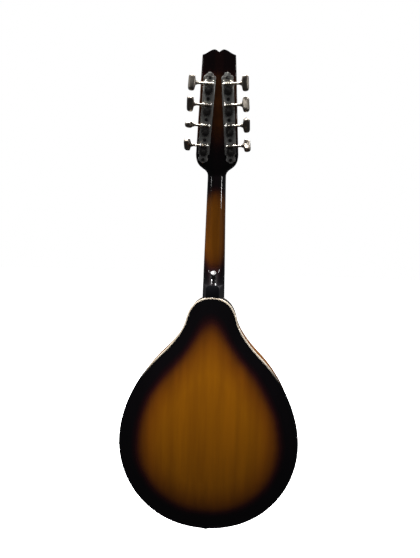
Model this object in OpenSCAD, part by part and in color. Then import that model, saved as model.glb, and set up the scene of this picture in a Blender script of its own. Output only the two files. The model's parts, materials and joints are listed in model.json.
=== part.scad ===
// Teardrop mandolin with a carved top and back, two four-gang tuner plates and eight strings.
// The nut is at the origin, +Z points up the headstock and +Y points out of the back.

/* [Neck] */
// String length from the nut to the saddle; the twelfth fret lies at the body
scale_length = 343; // [330:1:360]
// Neck width at the nut
nut_w = 26.6; // [25:0.2:30]
// Neck width at the body
joint_w = 33; // [31:0.5:37]
// Depth of the neck's wood behind the fretboard
neck_d = 14; // [12:0.5:18]
// Angle by which the neck leans back from the body
neck_angle = 4.5; // [4:0.25:5]
// Height of the fretboard's glue face above the body's front edge, at the body
neck_set = 5.5; // [5:0.25:8]
// Number of frets
fret_count = 20; // [17:1:21]
// Fretboard thickness
board_t = 5; // [4:0.25:6]
// Nut thickness along the strings
nut_t = 5; // [4:0.5:6]

/* [Headstock] */
// Length of the headstock from the nut to its two peaks
head_len = 161.8; // [155:1:200]
// Width of the headstock at its top corners
head_top_w = 44; // [40:0.5:50]
// Greatest width of the headstock, above its throat
head_low_w = 60; // [56:0.5:72]
// Thickness of the headstock's wood
head_t = 14; // [12:0.5:17]
// Angle by which the headstock leans back from the neck
head_lean = 11.5; // [8:0.5:15]
// Thickness of the veneer on the headstock's face
overlay_t = 1.5; // [1:0.1:2.5]

/* [Body] */
// Length of the body
body_len = 330; // [300:1:400]
// Width of the body at the lower bout
body_w = 254; // [210:1:310]
// Depth of the body at its edge
rim_depth = 43; // [38:0.5:52]
// Rise of the carved top above its edge
top_rise = 13; // [10:0.5:16]
// Rise of the carved back above its edge
back_rise = 11; // [8:0.5:16]
// Thickness of the plates at their edge, and height of the binding
edge_t = 4; // [3:0.25:6]
// Width of the binding
binding_w = 2; // [1.2:0.1:3]
// Thickness of the ribs
rib_t = 2.2; // [1.6:0.1:3]
// Width of the linings
lining_w = 5.8; // [4:0.2:8]
// Height of the linings
lining_h = 7; // [5:0.5:10]
// Width of each tone bar
bar_w = 6; // [4:0.5:8]
// Height of each tone bar
bar_h = 8; // [5:0.5:12]

/* [Tuners] */
// Distance from one tuner to the next
tuner_pitch = 26.4; // [23:0.2:30]
// Teeth on each tuner gear, which a single-start worm turns
gear_teeth = 14; // [12:1:16]
// Pitch radius of the tuner gear
gear_r = 5.6; // [5:0.1:6.4]
// Pitch radius of the worm
worm_r = 2.5; // [2.3:0.1:3]
// Thickness of the tuner gear
gear_t = 3.6; // [3:0.2:4.4]
// Radius of the string post
post_r = 3; // [2.6:0.1:3.4]
// Height of the string post above the headstock's face
post_h = 14; // [12:0.5:18]
// Width of the tuner plate
plate_w = 16; // [14:0.5:18]
// Thickness of the tuner plate
plate_t = 1.2; // [0.8:0.1:1.6]
// Slant of the tuner plates, which follow the headstock's sides
plate_slant = 4.3; // [3:0.1:5]
// Distance of the top string posts from the centre line
post_x = 12.9; // [12:0.1:15]
// Length of the tuner button across its shaft
button_len = 20.5; // [16:0.5:22]
// Width of the tuner button along its shaft
button_w = 10.5; // [8:0.5:12]
// Thickness of the tuner button
button_t = 8.5; // [6:0.5:10]
// Distance from a string post to the near side of its button
button_reach = 17.5; // [16:0.5:22]

/* [Bridge] */
// Length of the bridge
bridge_len = 112; // [95:1:130]
// Width of the bridge's base along the strings
bridge_w = 13; // [10:0.5:16]
// Distance between the bridge's two posts
bridge_post_gap = 76; // [68:1:84]
// Radius of the bridge's threaded posts
stud_r = 1.5; // [1.2:0.1:2]
// Pitch of the thread on the bridge's posts
stud_pitch = 0.7; // [0.5:0.05:0.8]
// Radius of the bridge's thumbwheels
wheel_r = 5; // [4:0.25:6]
// Travel of the saddle on its posts
saddle_travel = 2; // [1:0.25:2]

/* [Strings] */
// Distance between the outer strings at the nut
nut_spread = 21.6; // [20:0.2:23]
// Distance between the outer strings at the saddle
saddle_spread = 40; // [36:0.5:44]
// Distance between the two strings of a course
course_gap = 2.6; // [2:0.1:3.2]
// Height of the strings above the twelfth fret
action = 1.8; // [1.2:0.1:2.6]

/* [Tailpiece and fittings] */
// Width of the tailpiece
tail_w = 34; // [30:0.5:40]
// Length of the tailpiece over the top
tail_len = 34; // [30:0.5:44]
// Height of the tailpiece above the body's front edge
tail_lift = 7; // [6.5:0.25:9]
// Length of the tailpiece cover
cover_len = 44; // [40:1:54]
// Width of the heel cap
heel_w = 18.6; // [16:0.2:24]
// Length of the heel cap from the body's edge
heel_len = 17.2; // [14:0.2:22]
// Length over which the neck sweeps down to the heel
sweep_len = 31; // [26:0.5:40]
// Radius of the heel's strap button
button_head_r = 4.6; // [4:0.1:7]
// Radius of the end pin's head
pin_head_r = 6.5; // [5.5:0.1:8]

/* [Hidden] */
$fn = 48;

// Clearances
run_gap = 0.05; // shaft in its bearing
seat_gap = 0.1; // wood in its pocket, screw in its hole
air_gap = 0.3; // moving piece past a fixed one

// Places along the neck and the body
joint_s = scale_length / 2;
apex_z = -joint_s * cos(neck_angle);
front_y = -joint_s * sin(neck_angle) + neck_set;
back_y = front_y + rim_depth;
tail_z = apex_z - body_len;
top_glue_y = front_y + edge_t;
back_glue_y = back_y - edge_t;

// The body's half outline as four cubic curves: share of the length below the apex, share of the half width
OUTLINE = [
  [[0, 0], [0, 0.193], [0.05, 0.255], [0.1, 0.287]],
  [[0.1, 0.287], [0.15, 0.319], [0.211, 0.453], [0.252, 0.563]],
  [[0.252, 0.563], [0.347, 0.818], [0.492, 1], [0.627, 1]],
  [[0.627, 1], [0.815, 1], [1, 0.626], [1, 0]]
];
OUTLINE_STEPS = [7, 6, 9, 13];
carve_centre = 0.575; // the carving's middle, as a share of the length
CARVE_RINGS = [0.06, 0.18, 0.32, 0.46, 0.58, 0.69, 0.79, 0.88, 0.95, 1];
hollow_share = 0.93; // the hollow's outline, as a share of the plate's

function lerp(a, b, t) = a + (b - a) * t;
function curve(p, t) =
  pow(1 - t, 3) * p[0] + 3 * pow(1 - t, 2) * t * p[1] + 3 * (1 - t) * t * t * p[2] + pow(t, 3) * p[3];
HALF = concat(
  [
    for (k = [0:3])
      for (i = [0:OUTLINE_STEPS[k] - 1])
        let (p = curve(OUTLINE[k], i / OUTLINE_STEPS[k])) [p.y * body_w / 2, -p.x * body_len]
  ],
  [[0, -body_len]]
);
half_count = len(HALF);
RING = concat(HALF, [for (i = [half_count - 2:-1:1]) [-HALF[i].x, HALF[i].y]]);
ring_count = len(RING);
function tangent(i) =
  let (d = RING[(i + 1) % ring_count] - RING[(i + ring_count - 1) % ring_count]) d / norm(d);
function inset(i, d) = let (t = tangent(i)) RING[i] + d * [t.y, -t.x];
function edge_loop(d) = [for (i = [0:ring_count - 1]) inset(i, d)];

// A closed solid through rings of points, with a middle point at each end
module skin(rings, first, last, flip = false) {
  n = len(rings[0]);
  m = len(rings);
  points = concat([first], [for (r = rings) each r], [last]);
  sides = [
    for (j = [0:m - 2])
      for (i = [0:n - 1])
        let (a = 1 + j * n + i, b = 1 + j * n + (i + 1) % n) each [[a, b, b + n], [a, b + n, a + n]]
  ];
  start = [for (i = [0:n - 1]) [0, 1 + (i + 1) % n, 1 + i]];
  finish = [for (i = [0:n - 1]) [m * n + 1, 1 + (m - 1) * n + i, 1 + (m - 1) * n + (i + 1) % n]];
  faces = concat(sides, start, finish);
  polyhedron(points, flip ? [for (f = faces) [f[2], f[1], f[0]]] : faces, convexity = 6);
}

// A flat shape, drawn across and up, as a slab from y = from to y = to
module slab(from, to) {
  translate([0, to, 0]) rotate([90, 0, 0]) linear_extrude(to - from) children();
}

module in_neck() {
  rotate([-neck_angle, 0, 0]) children();
}

module in_head() {
  in_neck() translate([0, 0, nut_t]) rotate([-head_lean, 0, 0]) children();
}

// ---- Body ----

function arch(f) = (1 + cos(180 * pow(min(1, f), 1.6))) / 2;
function carve_ring(f, h, y0, way) =
  let (cz = apex_z - carve_centre * body_len)
  [for (p = edge_loop(binding_w)) [p.x * f, y0 + way * h, lerp(cz, apex_z + p.y, f)]];
function outer_rings(rise, y0, way) =
  [for (f = CARVE_RINGS) carve_ring(f, edge_t + rise * arch(f), y0, way)];
function inner_rings(rise, y0, way) =
  [for (f = CARVE_RINGS) carve_ring(f * hollow_share, rise * arch(f), y0, way)];
function reversed(list) = [for (i = [len(list) - 1:-1:0]) list[i]];
function carve_pole(h, y0, way) = [0, y0 + way * h, apex_z - carve_centre * body_len];

// A carved plate: arched outside, hollowed inside, with a flat gluing edge
module carved_plate(rise, y0, way) {
  skin(
    concat(outer_rings(rise, y0, way), [carve_ring(1, 0, y0, way)], reversed(inner_rings(rise, y0, way))),
    carve_pole(edge_t + rise, y0, way), carve_pole(rise, y0, way), way > 0
  );
}

// Where a point across and below the apex lies between the carving's middle (0) and its edge (1)
CARVE_EDGE = edge_loop(binding_w);
function carve_share(p) =
  let (
    c = [0, -carve_centre * body_len],
    q = p - c,
    hits = [
      for (i = [0:ring_count - 1])
        let (
          a = CARVE_EDGE[i] - c,
          e = CARVE_EDGE[(i + 1) % ring_count] - CARVE_EDGE[i],
          f = cross(q, e) / cross(a, e),
          u = cross(a, q) / (f * cross(a, e))
        )
        if (f > 0 && u >= 0 && u <= 1) f
    ]
  )
  len(hits) > 0 ? hits[0] : 0;
ARCH_TABLE = concat([[0, 1]], [for (f = CARVE_RINGS) [f, arch(f)]]);
// Places of the top's outer and inner faces behind a point across and up
function top_face_y(x, z) = front_y - top_rise * lookup(carve_share([x, z - apex_z]), ARCH_TABLE);
function top_hollow_y(x, z) =
  top_glue_y - top_rise * lookup(carve_share([x, z - apex_z]) / hollow_share, ARCH_TABLE);

// Sound hole: two round ends joined by an S-shaped slot
hole_z = apex_z - 0.5 * body_len;
hole_x = 0.29 * body_w;
hole_len = 88;
hole_r = 3.6;
module sound_hole() {
  steps = 16;
  mid = [
    for (i = [0:steps])
      let (t = i / steps, s = 2 * t - 1)
      [hole_x + 5 * s + 7.5 * sin(180 * s), hole_z - s * hole_len / 2]
  ];
  function half_slot(i) = 1.1 + 1.5 * sin(180 * i / steps);
  polygon(
    concat(
      [for (i = [0:steps]) mid[i] + [half_slot(i), 0]],
      [for (i = [steps:-1:0]) mid[i] - [half_slot(i), 0]]
    )
  );
  translate(mid[0] + [hole_r - 1.1, 0]) circle(hole_r);
  translate(mid[steps] - [hole_r - 0.6, 0]) circle(hole_r + 0.5);
}

module soundboard() {
  color("saddlebrown") difference() {
    carved_plate(top_rise, top_glue_y, -1);
    slab(front_y - top_rise - 1, top_glue_y + 1) sound_hole();
    slab(front_y - top_rise - 1, top_glue_y + 1) mirror([1, 0, 0]) sound_hole();
  }
}

module back_plate() {
  color("sienna") carved_plate(back_rise, back_glue_y, 1);
}

// A band that follows the body's edge, between two insets
module edge_band(from, to, d0, d1) {
  slab(from, to) translate([0, apex_z]) difference() {
    polygon(edge_loop(d0));
    polygon(edge_loop(d1));
  }
}

tenon_w = 18;
tenon_len = 16;
tenon_y0 = top_glue_y + 2;
tenon_y1 = back_glue_y - 3;
screw_r = 1.1;
tail_screw_len = 14;
pin_shank_r = 3.4;
pin_y = (front_y + back_y) / 2;
tail_plate_t = 1.2;
TAIL_SCREWS = [[-9, front_y + 9], [9, front_y + 9], [0, back_y - 9]];

// Holes at the tail for the end pin and the tailpiece's screws
module tail_holes() {
  translate([0, pin_y, tail_z - 5]) cylinder(h = 45, r = pin_shank_r + seat_gap);
  for (p = TAIL_SCREWS)
    translate([p.x, p.y, tail_z - 5]) cylinder(h = 5 + tail_screw_len, r = screw_r + seat_gap);
}

module tenon_space(gap) {
  translate([-tenon_w / 2 - gap, tenon_y0 - gap, apex_z - tenon_len - gap])
    cube([tenon_w + 2 * gap, tenon_y1 - tenon_y0 + 2 * gap, tenon_len + 6 + gap]);
}

// One rib, from the neck's tenon to the centre of the tail
module rib(side) {
  color("saddlebrown") difference() {
    edge_band(top_glue_y, back_glue_y, 0, rib_t);
    translate([side > 0 ? -body_w : 0, front_y, tail_z - 1]) cube([body_w, rim_depth, body_len + 2]);
    tenon_space(seat_gap);
    tail_holes();
  }
}

module bass_rib() {
  rib(-1);
}

module treble_rib() {
  rib(1);
}

neck_block_w = 54;
neck_block_len = 32;
tail_block_w = 58;
tail_block_len = 24;

module neck_block_space(gap) {
  translate([-neck_block_w / 2 - gap, top_glue_y - gap, apex_z - neck_block_len - gap])
    cube([neck_block_w + 2 * gap, back_glue_y - top_glue_y + 2 * gap, neck_block_len + 10]);
}

module tail_block_space(gap) {
  translate([-tail_block_w / 2 - gap, top_glue_y - gap, tail_z - 10])
    cube([tail_block_w + 2 * gap, back_glue_y - top_glue_y + 2 * gap, tail_block_len + 10 + gap]);
}

module inside_ribs(from, to) {
  slab(from, to) translate([0, apex_z]) polygon(edge_loop(rib_t));
}

module neck_block() {
  color("burlywood") difference() {
    intersection() {
      inside_ribs(top_glue_y, back_glue_y);
      neck_block_space(0);
    }
    tenon_space(seat_gap);
  }
}

module tail_block() {
  color("burlywood") difference() {
    intersection() {
      inside_ribs(top_glue_y, back_glue_y);
      tail_block_space(0);
    }
    tail_holes();
  }
}

// A kerfed lining: a band inside the ribs, sawn almost through at every step
kerf_w = 1;
kerf_web = 1.2;
module lining(from, to) {
  inner = [
    for (i = [0:ring_count - 1])
      let (t = tangent(i) * kerf_w / 2, deep = inset(i, rib_t + kerf_web), face = inset(i, rib_t + lining_w))
      each [face - t, deep - t, deep + t, face + t]
  ];
  color("burlywood") difference() {
    slab(from, to) translate([0, apex_z]) difference() {
      polygon(edge_loop(rib_t));
      polygon(inner);
    }
    neck_block_space(seat_gap);
    tail_block_space(seat_gap);
  }
}

module top_linings() {
  lining(top_glue_y, top_glue_y + lining_h);
}

module back_linings() {
  lining(back_glue_y - lining_h, back_glue_y);
}

bar_x = 22;
bar_splay = 4;
bar_top_z = apex_z - 0.26 * body_len;
bar_len = 0.54 * body_len;
bar_steps = 12;
glue_gap = 0.15;
module tone_bars() {
  color("wheat") for (side = [-1, 1]) {
    rings = [
      for (i = [0:bar_steps])
        let (
          z = bar_top_z - bar_len * i / bar_steps,
          x = side * (bar_x + (bar_top_z - z) * tan(bar_splay)),
          x0 = x - bar_w / 2,
          x1 = x + bar_w / 2,
          low = top_hollow_y(x, z) + 2 + (bar_h - 2) * sqrt(sin(180 * i / bar_steps))
        )
        [
          [x0, top_hollow_y(x0, z) + glue_gap, z], [x1, top_hollow_y(x1, z) + glue_gap, z],
          [x1, low, z], [x0, low, z]
        ]
    ];
    skin(
      rings, (rings[0][0] + rings[0][2]) / 2, (rings[bar_steps][0] + rings[bar_steps][2]) / 2, true
    );
  }
}

module top_binding() {
  color("ivory") edge_band(front_y, top_glue_y, 0, binding_w);
}

module back_binding() {
  color("ivory") edge_band(back_glue_y, back_y, 0, binding_w);
}

// ---- Neck ----

heel_cap_t = 2;
tongue_len = 26;
tongue_gap = 2.4; // the tongue's height above the top's edge
heel_d0 = neck_d + 1.5;
sweep_s = joint_s - heel_len - sweep_len;
cap_s = joint_s - heel_len;
// Depth of the heel under its cap, in the neck's own frame
function heel_depth(s) = (back_y - heel_cap_t + s * sin(neck_angle)) / cos(neck_angle);
function sweep_share(s) = min(1, max(0, (s - sweep_s) / sweep_len));
function neck_half_w(s) = lerp(nut_w, joint_w, s / joint_s) / 2;
function neck_depth(s) =
  let (q = sweep_share(s), d0 = lerp(neck_d, heel_d0, min(1, s / sweep_s)))
  lerp(d0, heel_depth(cap_s), 1 - sqrt(1 - q * q));
cap_round = 6; // length over which the cap's end is rounded
function cap_half_w(s) =
  let (q = min(1, max(0, (s - cap_s) / cap_round))) heel_w / 2 * (0.45 + 0.55 * sqrt(1 - pow(1 - q, 2)));
function end_half_w(s) = let (q = sweep_share(s)) max(0.3, q * q * cap_half_w(s));

// One ring round the neck: s is the distance below the nut, hw the half width, d the depth,
// k blends a half ellipse (0) with a straight-sided heel (1), e is the half width at the back
function neck_section(hw, d, k, e) =
  let (
    side = [
      for (i = [0:8])
        let (a = i * 90 / 8)
        [max(0.3, (1 - k) * hw * cos(a) + k * lerp(hw, e, sin(a))), d * sin(a)]
    ]
  )
  concat(side, [for (i = [8:-1:0]) [-side[i].x, side[i].y]]);
function neck_ring(s, depth) =
  [
    for (p = neck_section(neck_half_w(s), depth, pow(sweep_share(s), 2), end_half_w(s)))
      [p.x, p.y, -s]
  ];
// The same ring beyond the nut, in the headstock's plane
function head_ring(v, hw, d) =
  [
    for (p = neck_section(hw, d, 0, 0))
      [p.x, p.y * cos(head_lean) + v * sin(head_lean), nut_t + v * cos(head_lean) - p.y * sin(head_lean)]
  ];

sweep_steps = 10;
module neck_shaft() {
  rings = concat(
    [head_ring(24, head_low_w / 2 - 9, head_t - 0.4), head_ring(15, head_low_w / 2 - 11, head_t - 0.3)],
    [head_ring(9, nut_w / 2 + 3.6, head_t), head_ring(3, nut_w / 2 + 1.2, head_t)],
    [for (s = [2, 14, 45, 85]) neck_ring(s, neck_depth(s))],
    [
      for (i = [0:sweep_steps])
        let (s = sweep_s + sweep_len * sin(90 * i / sweep_steps)) neck_ring(s, neck_depth(s))
    ],
    [for (s = [1.5, 3.5, 6, heel_len, heel_len + tongue_len]) neck_ring(cap_s + s, heel_depth(cap_s + s))]
  );
  last = len(rings) - 1;
  skin(rings, rings[0][0] / 2 + rings[0][17] / 2 + [0, 4, 0], [0, 4, rings[last][0].z]);
}

// Half outline of the headstock: throat, ear, straight side, ogee to the peak and down to the notch
peak_x = 6.2;
ear_v = 30;
corner_v = head_len - 6.2;
notch_v = head_len - 3;
HEAD_HALF = concat(
  [
    for (i = [0:12])
      curve(
        [[nut_w / 2, 0], [nut_w / 2 + 1, 12], [head_low_w / 2, 7], [head_low_w / 2, ear_v]], i / 12
      )
  ],
  [[head_top_w / 2 + 0.6, corner_v - 3], [head_top_w / 2, corner_v]],
  [
    for (i = [1:5])
      curve(
        [
          [head_top_w / 2, corner_v], [head_top_w / 2 - 6.5, corner_v + 1],
          [peak_x + 5, head_len], [peak_x, head_len]
        ],
        i / 5
      )
  ],
  [
    for (i = [1:4])
      curve([[peak_x, head_len], [peak_x - 2.4, head_len], [2, notch_v + 1.2], [0, notch_v]], i / 4)
  ]
);
module head_outline() {
  polygon(concat(HEAD_HALF, [for (i = [len(HEAD_HALF) - 2:-1:0]) [-HEAD_HALF[i].x, HEAD_HALF[i].y]]));
}

// ---- Tuners: places in the frame of one plate, X outwards, Y out of the back, Z up ----

post_v = head_len - 50; // height of the top posts on the headstock
mesh_d = gear_r + worm_r; // worm shaft above its gear
worm_lead = 2 * PI * gear_r / gear_teeth;
tooth_add = 0.5;
tooth_ded = 0.7;
worm_turns = 3;
worm_len = worm_turns * worm_lead;
worm_y = plate_t + worm_r + tooth_add + 0.2;
gear_y = worm_y - gear_t / 2;
knob_shaft_r = 1.6;
lug_t = 1.4;
lug_r = 2.6;
lug_x = worm_len / 2 + air_gap + lug_t / 2;
screw_above = 16.2; // plate screw above each gear
last_screw = 10.3; // bottom screw below the lowest gear
bush_r = 4.7;
bush_len = 8;
flange_r = 5.7;
flange_t = 1;
wood_hole_r = post_r + 0.6;
SCREW_Z = concat([for (i = [0:3]) screw_above - i * tuner_pitch], [-last_screw - 3 * tuner_pitch]);

module on_plate(side) {
  in_head()
    mirror([side < 0 ? 1 : 0, 0, 0])
      translate([post_x, head_t, post_v]) rotate([0, -plate_slant, 0]) children();
}

// A round bar along Y, between two heights
module bar_y(from, to, r) {
  translate([0, from, 0]) rotate([-90, 0, 0]) cylinder(h = to - from, r = r);
}

module post_places() {
  for (side = [-1, 1]) on_plate(side) for (i = [0:3]) translate([0, 0, -i * tuner_pitch]) children();
}

module head_holes(with_screws) {
  post_places() {
    bar_y(-head_t - overlay_t - 1, -head_t + bush_len, bush_r + run_gap);
    if (with_screws) bar_y(-head_t - 1, 1, wood_hole_r);
  }
  if (with_screws)
    for (side = [-1, 1]) on_plate(side)
      for (z = SCREW_Z) translate([0, 0, z]) bar_y(-9, 1, screw_r + seat_gap);
}

// The truss rod's pocket above the nut, and its channel under the fretboard
rod_r = 1.6;
rod_y = 4.2;
pocket_w = 9;
pocket_len = 22;
module truss_space() {
  in_neck() translate([-pocket_w / 2, -3, nut_t]) cube([pocket_w, rod_y + 7, pocket_len]);
  in_neck() translate([-rod_r - seat_gap, -1, 12 - joint_s])
    cube([2 * (rod_r + seat_gap), rod_y + rod_r + seat_gap + 1, joint_s - 12 + nut_t + 1]);
}

strap_s = cap_s - 11;
strap_tilt = 42;
strap_seat = 1.2; // how far the button's seat is cut into the sweep
module at_strap_button() {
  in_neck() translate([0, neck_depth(strap_s) - strap_seat, -strap_s]) rotate([strap_tilt - 90, 0, 0])
    children();
}

module neck() {
  color("saddlebrown") difference() {
    union() {
      difference() {
        in_neck() neck_shaft();
        slab(front_y - tongue_gap, back_y + 20) translate([0, apex_z]) polygon(edge_loop(0));
        translate([-40, back_y - heel_cap_t, apex_z - 60]) cube([80, 40, 60 + heel_len + 8]);
      }
      in_head() slab(0, head_t) head_outline();
      tenon_space(0);
    }
    head_holes(true);
    truss_space();
    truss_cover_holes();
    in_neck() translate([-nut_w, -3, 0]) cube([2 * nut_w, 3, nut_t]);
    at_strap_button() cylinder(h = 20, r = button_head_r + 0.6);
    at_strap_button() translate([0, 0, -16]) cylinder(h = 17, r = screw_r + seat_gap);
  }
}

module heel_cap() {
  cap_steps = 6;
  half = [
    for (i = [0:cap_steps])
      let (s = cap_round * (1 - cos(90 * i / cap_steps))) [cap_half_w(cap_s + s), apex_z + heel_len - s]
  ];
  color("black") difference() {
    slab(back_y - heel_cap_t, back_y)
      polygon(
        concat(
          half, [[heel_w / 2, apex_z - 4], [-heel_w / 2, apex_z - 4]],
          [for (i = [cap_steps:-1:0]) [-half[i].x, half[i].y]]
        )
      );
    slab(back_y - heel_cap_t - 1, back_y + 1) translate([0, apex_z]) polygon(edge_loop(0));
  }
}

function fret_s(n) = scale_length * (1 - pow(2, -n / 12));
board_len = fret_s(fret_count) + 6;
fret_w = 2;
fret_h = 1.1;
tang_w = 0.6;
tang_d = 1.8;
dot_r = 2.4;
dot_t = 1.5;
DOTS = [[0, 5], [0, 7], [0, 10], [-5.5, 12], [5.5, 12], [0, 15]];
function dot_s(n) = (fret_s(n) + fret_s(n - 1)) / 2;

module dot_places() {
  for (d = DOTS) translate([d.x, -board_t, -dot_s(d.y)]) children();
}

module fretboard() {
  color("black") in_neck() difference() {
    slab(-board_t, 0)
      polygon(
        [
          [-nut_w / 2, 0], [nut_w / 2, 0], [neck_half_w(board_len), -board_len],
          [-neck_half_w(board_len), -board_len]
        ]
      );
    for (n = [1:fret_count])
      translate([-joint_w, -board_t - 1, -fret_s(n) - tang_w / 2]) cube([2 * joint_w, tang_d + 1, tang_w]);
    dot_places() bar_y(-1, dot_t, dot_r);
  }
}

module frets() {
  crown = [for (i = [0:8]) let (a = i * 180 / 8) [fret_w / 2 * cos(a), fret_h * sin(a)]];
  color("silver") in_neck() for (n = [1:fret_count]) {
    len = 2 * neck_half_w(fret_s(n)) - 0.6;
    translate([-len / 2, -board_t, -fret_s(n)]) rotate([0, 90, 0]) rotate([0, 0, 180]) linear_extrude(len)
      polygon(
        concat(crown, [[-tang_w / 2, 0], [-tang_w / 2, -tang_d], [tang_w / 2, -tang_d], [tang_w / 2, 0]])
      );
  }
}

module position_dots() {
  color("ivory") in_neck() dot_places() bar_y(0, dot_t, dot_r);
}

// ---- Strings: the bass side is at -X ----

STRING_R = [0.5, 0.36, 0.2, 0.14];
nut_slot_y = -board_t - fret_h - 0.3;
string_rise = (board_t + fret_h + action + nut_slot_y) / joint_s;
saddle_top_y = nut_slot_y - string_rise * scale_length;
function string_x(course, pair, spread) =
  lerp(-spread / 2, spread / 2, course / 3) + (course == 0 ? 1 : course == 3 ? -1 : 0) * course_gap / 2
  + (pair == 0 ? -1 : 1) * course_gap / 2;
function turned(p, a) = [p.x, p.y * cos(a) - p.z * sin(a), p.y * sin(a) + p.z * cos(a)];
function from_neck(p) = turned(p, -neck_angle);
function from_head(p) = from_neck(turned(p, -head_lean) + [0, 0, nut_t]);
// A point in a plate's frame: side, tuner number from the top, then the offset from its post
function from_plate(side, i, p) =
  let (z = p.z - i * tuner_pitch, a = plate_slant)
  from_head([side * (post_x + p.x * cos(a) - z * sin(a)), head_t + p.y, post_v + p.x * sin(a) + z * cos(a)]);

hook_z = tail_z + 16;
hook_row = 7;
hook_r = 0.9;
hook_h = 3;
tail_face_y = front_y - tail_lift - tail_plate_t;
waist_y0 = -head_t - overlay_t - 4.5; // the post's waist, in the plate's frame
waist_y1 = waist_y0 - 4.5;
wind_y = (waist_y0 + waist_y1) / 2; // middle of the windings

// Course 0 (G) and 1 (D) go to the bass posts, 2 (A) and 3 (E) to the treble ones, the outer courses low
function post_index(course, pair) =
  (course == 0 || course == 3) ? (course == 0 ? 3 - pair : 2 + pair) : (course == 1 ? 1 - pair : pair);
hook_spread = 24.8; // distance between the outer hooks' strings
function hook_x(course, pair) = string_x(course, pair, hook_spread);
function string_path(course, pair) =
  let (
    r = STRING_R[course],
    side = course < 2 ? -1 : 1,
    n = string_x(course, pair, nut_spread),
    b = string_x(course, pair, saddle_spread)
  )
  [
    [hook_x(course, pair), tail_face_y - 1.2, hook_z + (pair == 0 ? 0 : hook_row) + hook_r + r + 0.1],
    from_neck([b, saddle_top_y - r - 0.02, -scale_length]),
    from_neck([n, nut_slot_y - r, -0.5]),
    from_neck([n, nut_slot_y - r, nut_t + 0.5]),
    from_plate(side, post_index(course, pair), [-post_r - r - 0.25, wind_y, -2])
  ];

// A thin round line through a few points
module line(path, r) {
  last = len(path) - 1;
  skin(
    [
      for (i = [0:last])
        let (
          d = path[min(i + 1, last)] - path[max(i - 1, 0)],
          across = cross(d, [0, 1, 0]) / norm(cross(d, [0, 1, 0])),
          up = cross(across, d) / norm(d)
        )
        [for (k = [0:7]) path[i] + r * (cos(45 * k + 22.5) * across + sin(45 * k + 22.5) * up)]
    ],
    path[0], path[last]
  );
}

module string_course(course) {
  color("silver") for (pair = [0, 1]) line(string_path(course, pair), STRING_R[course]);
}

module string_course_g() {
  string_course(0);
}

module string_course_d() {
  string_course(1);
}

module string_course_a() {
  string_course(2);
}

module string_course_e() {
  string_course(3);
}

nut_h = 1.2; // the nut's height above the strings' seats
module nut() {
  color("ivory") in_neck() difference() {
    translate([-nut_w / 2, nut_slot_y - nut_h, 0]) cube([nut_w, -nut_slot_y + nut_h, nut_t]);
    for (course = [0:3])
      for (pair = [0, 1])
        translate([string_x(course, pair, nut_spread), nut_slot_y - STRING_R[course], -1])
          translate([-STRING_R[course] - 0.05, -nut_h - 1, 0])
            cube([2 * STRING_R[course] + 0.1, nut_h + 1 + STRING_R[course], nut_t + 2]);
  }
}

module headstock_overlay() {
  color("black") difference() {
    in_head() slab(-overlay_t, 0) difference() {
      head_outline();
      translate([-nut_w, -1]) square([2 * nut_w, 1 + overlay_t * tan(head_lean) + 0.1]);
    }
    head_holes(false);
    truss_space();
    truss_cover_holes();
  }
}

// ---- Truss rod and its cover ----

rod_nut_r = 2.9;
rod_nut_len = 7;
cover_t = 1.4;
cover_w = 19;
cover_v0 = 1.6;
cover_v1 = pocket_len + 9;
COVER_SCREWS = [[0, cover_v1 - 3.2], [-6.2, cover_v0 + 3], [6.2, cover_v0 + 3]];

rod_s = joint_s - 14; // depth of the rod's end below the nut
rod_thread = nut_t + 11; // height its thread reaches above the nut
module truss_rod() {
  color("dimgray") in_neck() translate([0, rod_y, -rod_s]) cylinder(h = rod_s + rod_thread, r = rod_r);
}

module truss_rod_nut() {
  color("goldenrod") in_neck() translate([0, rod_y, nut_t + 2]) difference() {
    cylinder(h = rod_nut_len, r = rod_nut_r, $fn = 6);
    translate([0, 0, -1]) cylinder(h = rod_nut_len + 2, r = rod_r + run_gap);
  }
}

module truss_cover_holes() {
  in_head() for (p = COVER_SCREWS) translate([p.x, 0, p.y]) bar_y(-overlay_t - 2, 6, 0.8);
}

module truss_rod_cover() {
  color("black") difference() {
    in_head() slab(-overlay_t - cover_t, -overlay_t)
      polygon(
        concat(
          [[-cover_w / 2, cover_v0], [cover_w / 2, cover_v0]],
          [
            for (i = [0:8])
              curve(
                [[cover_w / 2, cover_v0 + 4], [cover_w / 2, cover_v1 - 8], [4, cover_v1 - 9], [3, cover_v1]],
                i / 8
              )
          ],
          [
            for (i = [8:-1:0])
              curve(
                [
                  [-cover_w / 2, cover_v0 + 4], [-cover_w / 2, cover_v1 - 8],
                  [-4, cover_v1 - 9], [-3, cover_v1]
                ],
                i / 8
              )
          ]
        )
      );
    truss_cover_holes();
  }
}

module truss_cover_screws() {
  color("silver") in_head() for (p = COVER_SCREWS) translate([p.x, -overlay_t - cover_t, p.y]) difference() {
    union() {
      bar_y(-1, 0, 1.5);
      bar_y(-0.5, 6.5, 0.75);
    }
    translate([-2, -1.4, -0.2]) cube([4, 0.8, 0.4]);
  }
}

// ---- Tuner plates ----

// A scalloped end round a screw: a dome that reaches beyond it, and a lobe on each side
module plate_end(z, way, half_w, lobe_r, dome_r, reach) {
  translate([0, z + way * (reach - dome_r)]) circle(dome_r);
  for (side = [-1, 1]) translate([side * (half_w - lobe_r), z - way * 0.6]) circle(lobe_r);
}

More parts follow.
